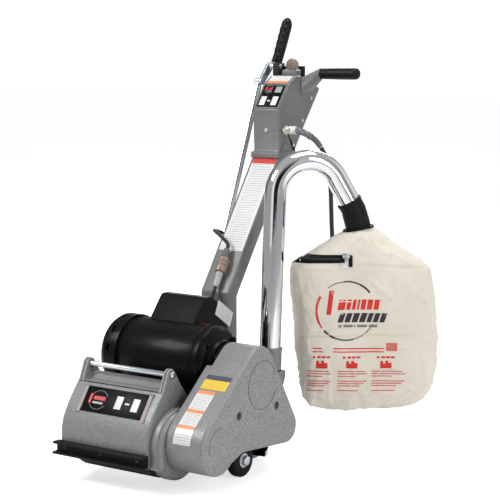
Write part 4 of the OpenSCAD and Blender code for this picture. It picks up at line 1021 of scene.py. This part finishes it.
def band_sticker(name, low, high, x0, x1, material, steps=18):
    rows = []
    for i in range(steps + 1):
        p = band_point(low + (high - low) * i / steps, 0.3)
        rows.append([at(x0 + (x1 - x0) * c / 6, p.x, p.y) for c in range(7)])
    return sheet_grid(name, rows, material)


band_sticker("guard_label_long", -46, 94, 168, 213, "label_caution")
band_sticker("guard_label_wide", 98, 137, 168, 233, "label_yellow", 8)

HANDLE_DIR = Vector((0, 240, 340)).normalized()
HANDLE_OUT = Vector((0, -HANDLE_DIR.z, HANDLE_DIR.y))
front_face = Vector((0, 190, 371)) + HANDLE_OUT * 19


def on_handle(x, s):
    p = front_face + HANDLE_DIR * s
    return at(x, p.y, p.z)


flat_sticker("handle_label", on_handle(-33, 106), (mm(68), 0, 0), on_handle(0, 377) - on_handle(0, 106),
             "label_white")
flat_sticker("handle_label_foot", on_handle(-12, 36), (mm(26), 0, 0), on_handle(0, 78) - on_handle(0, 36),
             "label_red")
flat_sticker("box_label", at(66.2, 82, 342), Vector((0, 58, -38)) / 1000, Vector((0, 14, 32)) / 1000, "label_data")


# Name plates: a plain frame, hatched ends and a generic ring mark
def panel_point(low, high, x, s, lift):
    low, high = Vector(low), Vector(high)
    d = (high - low).normalized()
    p = low + d * s + Vector((-d.y, d.x)) * lift
    return at(x, p.x, p.y)


PANEL = ((-224, 158), (-190, 206))
panel_len = math.dist(*PANEL)
for side, (x0, x1) in {"left": (-88, -79), "right": (91, 100)}.items():
    rows = [[panel_point(*PANEL, x0 + (x1 - x0) * c / 2, -3 + (panel_len + 3) * r / 8, 2.4) for c in range(3)]
            for r in range(9)]
    sheet_grid(f"panel_hatch_{side}", rows, "hatch")
    edge_x = x0 if side == "left" else x1
    tube(f"panel_bead_{side}", [panel_point(*PANEL, edge_x, s, 1.8) for s in (-5, 10, 30, panel_len + 2)], mm(1.6),
         "cast", "chassis", 10)
tube("panel_bead_top", [panel_point(*PANEL, x, panel_len + 2, 0.8) for x in (-90, -40, 0, 50, 102)], mm(2.2),
     "cast", "chassis", 12)
ring = [panel_point(*PANEL, -38 + 24 * math.cos(a), panel_len / 2 + 22 * math.sin(a), 3.1)
        for a in (2 * math.pi * i / 48 for i in range(4, 45))]
tube("panel_ring", ring, mm(0.45), "mark_silver", "chassis", 8)
for i, (x0, x1, s0, s1, ink) in enumerate((
        (-64, -57, 20, 42, "mark_red"), (-52, -20, 29, 38, "mark_red"), (-52, -24, 20, 25, "mark_silver"),
        (10, 28, 15, 45, "mark_white"), (36, 48, 28, 32, "mark_white"), (56, 74, 15, 45, "mark_white"))):
    flat_sticker(f"panel_mark_{i}", panel_point(*PANEL, x0, s0, 3.1), (mm(x1 - x0), 0, 0),
                 panel_point(*PANEL, x0, s1, 3.1) - panel_point(*PANEL, x0, s0, 3.1), ink)

# Head: framed plate, top strip, engraved lines beside the switch
HEAD_FACE = ((388, 800), (435, 862))


def head_point(x, s, lift):
    return panel_point(*HEAD_FACE, x, s, lift)


frame_line = [head_point(x, s, 0.6) for x, s in (
    (-33.5, 4), (33.5, 4), (33.5, 75), (-33.5, 75), (-33.5, 4))]
for i in range(4):
    tube(f"head_frame_{i}", [frame_line[i], frame_line[i].lerp(frame_line[i + 1], 0.5), frame_line[i + 1]], mm(2.4),
         "handle", "chassis", 10)
for i, (x0, x1, s0, s1, ink) in enumerate((
        (-24, -18, 56, 66, "mark_red"), (-15, -4, 58, 64, "mark_red"), (-18, -4, 53, 55.5, "mark_silver"),
        (6, 24, 50, 68, "mark_silver"), (-26, -10, 12, 38, "mark_white"), (-5, 3, 23, 27, "mark_white"),
        (8, 24, 12, 38, "mark_white"))):
    flat_sticker(f"head_mark_{i}", head_point(x0, s0, 1.5), (mm(x1 - x0), 0, 0),
                 head_point(x0, s1, 1.5) - head_point(x0, s0, 1.5), ink)
tube("head_ring", [head_point(-13 + 11 * math.cos(a), 59 + 11 * math.sin(a), 1.5)
                   for a in (2 * math.pi * i / 40 for i in range(3, 38))],
     mm(0.4), "mark_silver", "chassis", 8)
TOP_A, TOP_B = at(-30, 437, 863.2), at(-30, 463, 880)
flat_sticker("head_strip", TOP_A, (mm(60), 0, 0), TOP_B - TOP_A, "label_orange", 0.0004)
for i in range(5):
    y = 473 + i * 5.2
    tube(f"switch_line_{i}", [at(-5, y, 894.8), at(-2, y + 1, 894.9), at(1, y, 894.8)], mm(0.5), "mark_silver",
         "chassis", 6)

# Motor: a bead where each end bell meets the frame, and a small sticker
for i, x in enumerate((-88, 104)):
    ring_pts = [at(x, MOTOR_Y + (MOTOR_R + 0.15) * math.cos(a), MOTOR_Z + (MOTOR_R + 0.15) * math.sin(a))
                for a in round_angles(72, 73)]
    tube(f"motor_bead_{i}", ring_pts, mm(0.9), "motor", "chassis", 10)
motor_rows = []
for r in range(7):
    a = math.radians(84 - 26 * r / 6)
    y, z = MOTOR_Y + (MOTOR_R + 0.4) * math.cos(a), MOTOR_Z + (MOTOR_R + 0.4) * math.sin(a)
    motor_rows.append([at(72 + 30 * c / 4, y, z) for c in range(5)])
sheet_grid("motor_label", motor_rows, "label_orange")

# ---------------------------------------------------------------- dust bag
# Level slices: drop below the neck, half-width to the left and to the right, half-thickness
BAG = [(4, 30, 34, 30), (20, 52, 58, 38), (34, 77, 83, 44), (50, 103, 110, 49), (64, 127, 130, 53), (78, 151, 149, 56),
       (90, 168, 166, 58), (102, 173, 177, 59), (120, 173, 181, 60), (180, 169, 191, 62), (240, 163, 196, 62),
       (306, 157, 196, 60), (354, 151, 194, 54), (384, 147, 190, 47), (404, 143, 180, 38), (420, 136, 166, 27),
       (431, 126, 150, 17), (438, 100, 132, 10), (442, 64, 90, 6)]
BAG_AROUND, BAG_DOWN = 144, 96
NECK_TILT = 13
across_dir = Vector((math.cos(BAG_YAW), math.sin(BAG_YAW), 0))
deep_dir = Vector((-math.sin(BAG_YAW), math.cos(BAG_YAW), 0))


def slice_at(drop):
    """Half-widths and half-thickness between the slices, on a smooth curve."""
    for i in range(len(BAG) - 1):
        if drop <= BAG[i + 1][0]:
            break
    a, b = BAG[i], BAG[i + 1]
    t = max(0.0, (drop - a[0]) / (b[0] - a[0]))
    before, after = BAG[max(i - 1, 0)], BAG[min(i + 2, len(BAG) - 1)]
    out = []
    for k in (1, 2, 3):
        m0 = (b[k] - before[k]) / (b[0] - before[0]) * (b[0] - a[0])
        m1 = (after[k] - a[k]) / (after[0] - a[0]) * (b[0] - a[0])
        h = (2 * t ** 3 - 3 * t ** 2 + 1) * a[k] + (t ** 3 - 2 * t ** 2 + t) * m0
        out.append(h + (3 * t ** 2 - 2 * t ** 3) * b[k] + (t ** 3 - t ** 2) * m1)
    return out


def bag_point(angle, drop, push=0.0):
    """A point of the bag's cloth in the machine frame; angle 270 degrees faces the front."""
    left, right, deep = slice_at(drop)
    c, q = math.cos(angle), math.sin(angle)
    reach = left if c < 0 else right
    u = math.copysign(abs(c) ** (2 / 2.6), c) * reach
    v = math.copysign(abs(q) ** (2 / 2.6), q) * deep
    away = Vector((u / max(reach, 1), v / max(deep, 1))).normalized()
    u += away.x * push
    v += away.y * push
    tilt = NECK_TILT * (0.5 - 0.5 * max(-1.0, min(1.0, u / 34))) * max(0.0, 1 - (drop - 4) / 44) ** 2
    return NECK + across_dir * u + deep_dir * v + Vector((0, 0, -drop - tilt))


def folds(angle, drop):
    """How far the cloth stands in or out: pleats below the neck, long folds, and creases of the sagging foot."""
    neck = 2.2 * math.cos(9 * angle + 1.2 * math.sin(3 * angle)) * math.exp(-((drop - 20) / 24) ** 2)
    far = math.cos(angle)
    p = Vector((far * 2.6, drop / 210, math.sin(angle) * 1.2))
    long_fold = 7.0 * noise.noise(p + Vector((3.1, 0.2, 7.7))) * min(1, drop / 70) * min(1, (446 - drop) / 70)
    slant = 3.2 * noise.noise(Vector((far * 5.0 + drop / 90, drop / 130 - far * 1.7, 4.4)))
    low = max(0.0, (drop - 290) / 140)
    sag = 3.4 * low * noise.noise(Vector((far * 4.2, drop / 26, math.sin(angle) * 2 + 9)))
    return neck + long_fold + slant * min(1, drop / 60) + sag


rings = []
drops = [4 + 438 * (i / BAG_DOWN) ** 0.94 for i in range(BAG_DOWN + 1)]
for drop in drops:
    rings.append([at(*bag_point(2 * math.pi * k / BAG_AROUND, drop, folds(2 * math.pi * k / BAG_AROUND, drop) - 2.0))
                  for k in range(BAG_AROUND)])
foot = rings[-1]
middle = sum(foot, Vector()) / len(foot)
for t in (0.75, 0.5, 0.25):
    rings.append([middle.lerp(p, t) - Vector((0, 0, mm(2.2 * (1 - t)))) for p in foot])
verts, faces = loft(rings, False)
last = (len(rings) - 1) * BAG_AROUND
verts.append(middle - Vector((0, 0, mm(2.4))))
faces += [(last + j, last + (j + 1) % BAG_AROUND, len(verts) - 1) for j in range(BAG_AROUND)]
bag = add("dust_bag_cloth", verts, faces, "canvas", "chassis", 180)
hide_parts("dust_bag")


def hang(piece, frames, cap, pinned, pressure):
    """Lets the cloth settle under its own weight; no point moves further than cap metres."""
    rest = [v.co.copy() for v in piece.data.vertices]
    group = piece.vertex_groups.new(name="pin")
    for i, co in enumerate(rest):
        weight = pinned(co)
        if weight > 0:
            group.add([i], weight, "REPLACE")
    cloth = piece.modifiers.new("cloth", "CLOTH")
    s = cloth.settings
    s.quality = 6
    s.mass = 0.12
    s.tension_stiffness = s.compression_stiffness = 18
    s.shear_stiffness = 8
    s.bending_stiffness = 0.35
    s.vertex_group_mass = "pin"
    s.use_pressure = True
    s.uniform_pressure_force = pressure
    s.shrink_min = -0.02
    s.effector_weights.gravity = 0.6
    cloth.point_cache.frame_start = 1
    cloth.point_cache.frame_end = frames
    for step in range(1, frames + 1):
        scene.frame_set(step)
    apply_modifiers(piece)
    scene.frame_set(1)
    for v, start in zip(piece.data.vertices, rest):
        move = v.co - start
        if move.length > cap:
            v.co = start + move * (cap / move.length)
    piece.vertex_groups.clear()


neck_z = at(*NECK).z
HANG_FRAMES, HANG_CAP, HANG_PRESSURE = 22, 7, 0.5


def held_near_neck(co):
    """Pin weight: the top is fixed, a band below it half loose, the rest free."""
    if co.z > neck_z - mm(14):
        return 1.0
    return 0.35 if co.z > neck_z - mm(40) else 0.0


hang(bag, HANG_FRAMES, mm(HANG_CAP), held_near_neck, HANG_PRESSURE)


def seam_line(low_angle, high_angle, drop_of, steps, lift):
    """Points on the finished cloth along a line of (angle, drop)."""
    tree = BVHTree.FromObject(bag, bpy.context.evaluated_depsgraph_get())
    line = []
    for i in range(steps + 1):
        a = low_angle + (high_angle - low_angle) * i / steps
        p = at(*bag_point(a, drop_of(i / steps), 0))
        hit, normal, _, _ = tree.find_nearest(p)
        away = (p - at(NECK.x, NECK.y, machine(p).z)).normalized()
        if normal.dot(away) < 0:
            normal = -normal
        line.append(hit + normal * lift)
    return line


# Smooth the cloth once, then sew its seams on: a raised lap
smooth_more = bag.modifiers.new("fine", "SUBSURF")
smooth_more.levels = smooth_more.render_levels = 1
apply_modifiers(bag)

# Creases: from (u, drop) to (u, drop) on the front, half-width and height in millimetres
CREASES = (
    (-14, 92, 60, 97, 3.5, -2.2), (60, 97, 168, 103, 4.5, -2.4), (-160, 262, -60, 268, 3.2, -1.8),
    (-60, 268, 40, 262, 4.5, -0.8), (40, 262, 176, 258, 3.5, -1.8), (20, 30, 34, 96, 6, 3.0),
    (34, 96, 22, 150, 7, -2.2), (42, 50, 120, 88, 7, 2.6), (58, 112, 96, 176, 8, -2.4), (96, 120, 168, 190, 8, 2.8),
    (30, 128, 70, 170, 5, 2.4),
    (-142, 110, -128, 190, 6, 3.2), (-134, 150, -146, 240, 8, -3.0), (-118, 120, -104, 160, 5, -2.0),
    (-64, 276, -84, 350, 6, 3.4), (-70, 330, -66, 428, 6, 3.6), (-92, 300, -110, 380, 8, -3.4),
    (-30, 320, -4, 384, 6, -2.4), (-8, 350, 24, 420, 7, 3.0), (84, 404, 128, 388, 4, 5.0),
    (126, 388, 142, 402, 4, 4.2),
    (30, 410, 90, 402, 5, 3.4), (-60, 414, 30, 412, 4, -3.0), (150, 300, 172, 372, 8, 3.6),
    (166, 216, 180, 300, 7, -3.2),
    (176, 250, 160, 350, 6, 2.6), (146, 360, 172, 396, 5, -3.6), (156, 392, 184, 380, 4, 3.2),
    (134, 150, 178, 230, 9, -2.6),
    (-120, 404, -60, 420, 5, 3.0), (-20, 60, -60, 84, 8, 1.8), (-100, 60, -150, 84, 6, -1.4),
    (-50, 130, -90, 170, 9, 1.6))


def crease_height(u, drop):
    total = 0.0
    for u0, d0, u1, d1, wide, high in CREASES:
        du, dd = u1 - u0, d1 - d0
        t = max(0.0, min(1.0, ((u - u0) * du + (drop - d0) * dd) / (du * du + dd * dd)))
        away = math.hypot(u - u0 - du * t, drop - d0 - dd * t)
        if away < 3 * wide:
            total += high * math.exp(-(away / wide) ** 2) * (0.55 + 0.45 * math.sin(math.pi * t))
    return total


def wrinkle(u, drop, side):
    """Fine broken ridges of creased canvas, more of them low down and at the sides."""
    p = Vector((u / 62, drop / 74, side * 5.0))
    ridge = 1 - abs(noise.noise(p + Vector((0.7 * noise.noise(p * 1.7), drop / 260, 0)))) * 2.6
    second = 1 - abs(noise.noise(Vector((u / 34 + drop / 60, drop / 40 - u / 90, side * 3.0 + 8)))) * 2.8
    spread = 0.45 + 0.5 * max(0.0, (drop - 250) / 190) + 0.35 * min(1.0, abs(u) / 160) ** 2
    return spread * (2.6 * max(0.0, ridge) ** 3 + 1.3 * max(0.0, second) ** 3) * min(1.0, max(0.0, (drop - 18) / 40))


normals = [v.normal.copy() for v in bag.data.vertices]
for v, normal in zip(bag.data.vertices, normals):
    p = machine(v.co) - NECK
    u, deep, drop = p.dot(across_dir), p.dot(deep_dir), -p.z
    front = max(0.0, min(1.0, 0.5 - deep / 24))
    lift = crease_height(u, drop) * front + crease_height(-u * 0.9, drop * 1.03 - 6) * (1 - front)
    v.co += normal * mm(lift + wrinkle(u, drop, -1 if deep < 0 else 1))
shade(bag, 180)
band = seam_line(math.radians(181), math.radians(359), lambda t: 258 + 16 * math.sin(t * 5) * 0.2 - 6 * t, 70, mm(0.4))
tube("bag_seam_front", band, mm(0.9), "canvas", "chassis", 8)
hem = seam_line(math.radians(182), math.radians(358), lambda t: 408 - 5 * math.sin(math.pi * t), 70, mm(0.4))
tube("bag_hem", hem, mm(1.1), "canvas", "chassis", 8)
side_seam = seam_line(math.radians(355), math.radians(358), lambda t: 74 + 340 * t, 60, mm(0.5))
tube("bag_side_seam", side_seam, mm(1.1), "canvas", "chassis", 8)
neck_cord = [at(*bag_point(2 * math.pi * k / 48, 5, 1.4)) for k in range(49)]
tube("bag_neck_binding", neck_cord, mm(2.2), "tape", "chassis", 10)

# Print on the bag: a generic ring with plain bars, a double red line and three plain blocks
cloth_tree = BVHTree.FromObject(bag, bpy.context.evaluated_depsgraph_get())


def on_bag(u, drop, lift=0.35):
    """A point on the front cloth, u millimetres right of the neck."""
    p = at(*(NECK + across_dir * u - deep_dir * 120 + Vector((0, 0, -drop))))
    hit, normal, _, _ = cloth_tree.ray_cast(p, deep_dir, 0.125)
    if hit is None:
        hit, normal, _, _ = cloth_tree.find_nearest(p + deep_dir * 0.108)
    if normal.dot(deep_dir) > 0:
        normal = -normal
    return hit + normal * mm(lift)


def bag_patch(name, u0, u1, d0, d1, material, cols=8, rows=4):
    grid = [[on_bag(u0 + (u1 - u0) * c / cols, d1 + (d0 - d1) * r / rows) for c in range(cols + 1)]
            for r in range(rows + 1)]
    return sheet_grid(name, grid, material)


def bag_ring(name, u, drop, radius, width, start, stop, material, steps=72):
    rows = []
    for i in range(steps + 1):
        a = math.radians(start + (stop - start) * i / steps)
        rows.append([on_bag(u + (radius + w) * math.cos(a), drop - (radius + w) * math.sin(a))
                     for w in (-width / 2, 0, width / 2)])
    return sheet_grid(name, rows, material)


# The ring's middle as (u, drop), its radius, and its arcs from start to stop degrees with their width
RING_MIDDLE, RING_R = (-29, 201), 70
for i, (start, stop, width, ink) in enumerate((
        (38, 62, 4.6, "ink_dark"), (62, 96, 3.4, "ink_dark"), (96, 128, 1.8, "ink_dark"), (150, 206, 5.2, "ink_red"),
        (206, 216, 3.4, "ink_red"), (222, 248, 4.8, "ink_dark"), (248, 285, 3.2, "ink_dark"),
        (285, 334, 1.8, "ink_dark"))):
    bag_ring(f"bag_ring_{i}", *RING_MIDDLE, RING_R, width, start, stop, ink, max(8, (stop - start) // 2))


def slant_row(name, u0, drop, high, slant, widths, gap, material):
    """A row of plain leaning blocks."""
    for n, wide in enumerate(widths):
        grid = [[on_bag(u0 + wide * c / 4 + slant * r / 3, drop + high * (1 - r / 3)) for c in range(5)]
                for r in range(4)]
        sheet_grid(f"{name}_{n}", grid, material)
        u0 += wide + gap


slant_row("bag_mark_tall", -76, 152, 58, 7, (11,), 0, "ink_red")
slant_row("bag_mark_red", -50, 174, 24, 4, (17, 10, 8, 5, 11, 12, 12), 3.6, "ink_red")
slant_row("bag_mark_dark", -50, 206, 22, 7, (13, 13, 14, 14, 11, 12, 12), 3.6, "ink_dark")
slant_row("bag_mark_grey", -48, 234, 6, 1, (8, 28, 24, 20), 4, "ink_grey")
for i, (u0, u1) in enumerate(((-107, -84), (-59, 61))):
    bag_patch(f"bag_line_{i}_upper", u0, u1, 290, 292.8, "ink_red", 16, 1)
    bag_patch(f"bag_line_{i}_lower", u0, u1, 298, 300.8, "ink_red", 16, 1)
bag_patch("bag_box_small", 66, 92, 277, 297, "ink_pink", 5, 4)
# Rows of plain bars under each block, as shares of its width, 0 for a gap
TEXT_TOP, TEXT_STEP, TEXT_HIGH = 346, 6.1, 2.6
TEXT_ROWS = (0.92, 1.0, 0.62, 0, 1.0, 0.9, 0.74, 0, 0.7)
for i, (u, wide) in enumerate(((-99, 56), (-28, 70), (53, 80))):
    bag_patch(f"bag_block_{i}_mark", u - 8, u - 2, 310, 315.5, "ink_red", 2, 1)
    slant_row(f"bag_block_{i}_head", u + 2, 310, 5, 1, (9, 9, 9), 2, "ink_red")
    for n, (left, right, top) in enumerate(((0, 7, 322), (6, 13, 328), (12, 19, 321), (18, 27, 326))):
        bag_patch(f"bag_block_{i}_{n}", u + left, u + right, top, 340, "ink_red", 3, 4)
    for r, share in enumerate(TEXT_ROWS):
        if share:
            row_top = TEXT_TOP + r * TEXT_STEP
            bag_patch(f"bag_text_{i}_{r}", u - 20, u - 20 + wide * share, row_top, row_top + TEXT_HIGH,
                      "ink_pink", 12, 1)


# Zipper: black tape round the shoulder, turning down at its end, with metal teeth
def tape_strip(name, points_low, points_high, material, lift):
    rows = [[on_bag(*p, lift) for p in points_low], [on_bag((a[0] + b[0]) / 2, (a[1] + b[1]) / 2, lift + 0.5)
                                                      for a, b in zip(points_low, points_high)],
            [on_bag(*p, lift) for p in points_high]]
    mesh_piece = sheet_grid(name, rows, material)
    solid = mesh_piece.modifiers.new("thick", "SOLIDIFY")
    solid.thickness = mm(0.9)
    solid.offset = 1
    apply_modifiers(mesh_piece)
    return mesh_piece


def zip_drop(u):
    return 80.5 + (u + 160) * -0.026


tape_us = [-160 + 142 * i / 40 for i in range(41)]
tape = tape_strip("zipper_tape_cloth", [(u, zip_drop(u) + 9.5) for u in tape_us],
                  [(u, zip_drop(u) - 9) for u in tape_us], "tape", 0.5)
tape_strip("zipper_tape_end", [(-26, d) for d in (74, 80, 86, 92, 97)], [(-15, d) for d in (70, 78, 85, 92, 97)],
           "tape", 0.55)
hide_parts("zipper_tape")
for side, shift in (("upper", -1.3), ("lower", 1.3)):
    teeth = [on_bag(u, zip_drop(u) + shift, 2.0) for u in tape_us[:34]]
    tube(f"zipper_teeth_{side}", teeth, mm(0.9), "zip_teeth", "chassis", 8)

# Slider: body, bridge and a pull tab with its eye; they travel together along the tape
low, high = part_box("zipper_slider")
slider_top = Vector(((low.x + high.x) / 2, (low.y + high.y) / 2, high.z))
tab_out = -deep_dir
home = slider_top + tab_out * mm(1.0)


def slider_box(name, u0, u1, z0, z1, y0, y1, material, bevel_width):
    corners = []
    for z in (z0, z1):
        corners.append([home + across_dir * mm(u) + tab_out * mm(y) + Vector((0, 0, mm(z)))
                        for u, y in ((u0, y0), (u1, y0), (u1, y1), (u0, y1))])
    verts, faces = loft(corners)
    piece = add(name, verts, faces, material, "slider", 30)
    bev = piece.modifiers.new("edges", "BEVEL")
    bev.width = mm(bevel_width)
    bev.segments = 3
    apply_modifiers(piece)
    shade(piece, 40)
    return piece


slide_body = slider_box("slider_body", -9, 8, -13, 0, -2.0, 2.2, "slider", 2.4)
slider_box("slider_bridge", -2.4, 2.4, -11, -2, 2.0, 4.6, "slider", 1.1)
slider_box("slider_tab", -4.2, 4.6, -30, -6, 3.0, 4.4, "slider", 0.7)
tube("slider_ring", [home + across_dir * mm(0.2 + 4.6 * math.cos(a)) + tab_out * mm(3.7)
                     + Vector((0, 0, mm(-34 + 5.4 * math.sin(a)))) for a in round_angles(32, 33)],
     mm(1.2), "slider", "slider", 8)
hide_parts("zipper_slider")

# The bag is cut as one tube of canvas, closed along its foot
thick = bag.modifiers.new("thick", "SOLIDIFY")
thick.thickness = mm(1.2)
thick.offset = -1
apply_modifiers(bag)
shade(bag, 180)

# ---------------------------------------------------------------- floor
bpy.ops.mesh.primitive_grid_add(x_subdivisions=24, y_subdivisions=24, size=60, location=(0, 0, 0))
floor = bpy.context.object
floor.name = "floor"
floor_paint = Paint("floor_paper", (0.86, 0.86, 0.86), 0.75)
floor_ray = floor_paint.node("LightPath").outputs["Is Camera Ray"]
floor_paint.set("Emission Color", (1, 1, 1, 1))
floor_paint.link(floor_paint.math("MULTIPLY", floor_ray, 0.66), "Emission Strength")
floor_paint.vary("Base Color", 0.8, 3.0, (0.3, (0.85, 0.85, 0.855)), (0.8, (0.88, 0.88, 0.88)))
floor_paint.bump(floor_paint.noise(120, 2.0), 0.0001, 0.2)
floor.data.materials.append(floor_paint.mat)
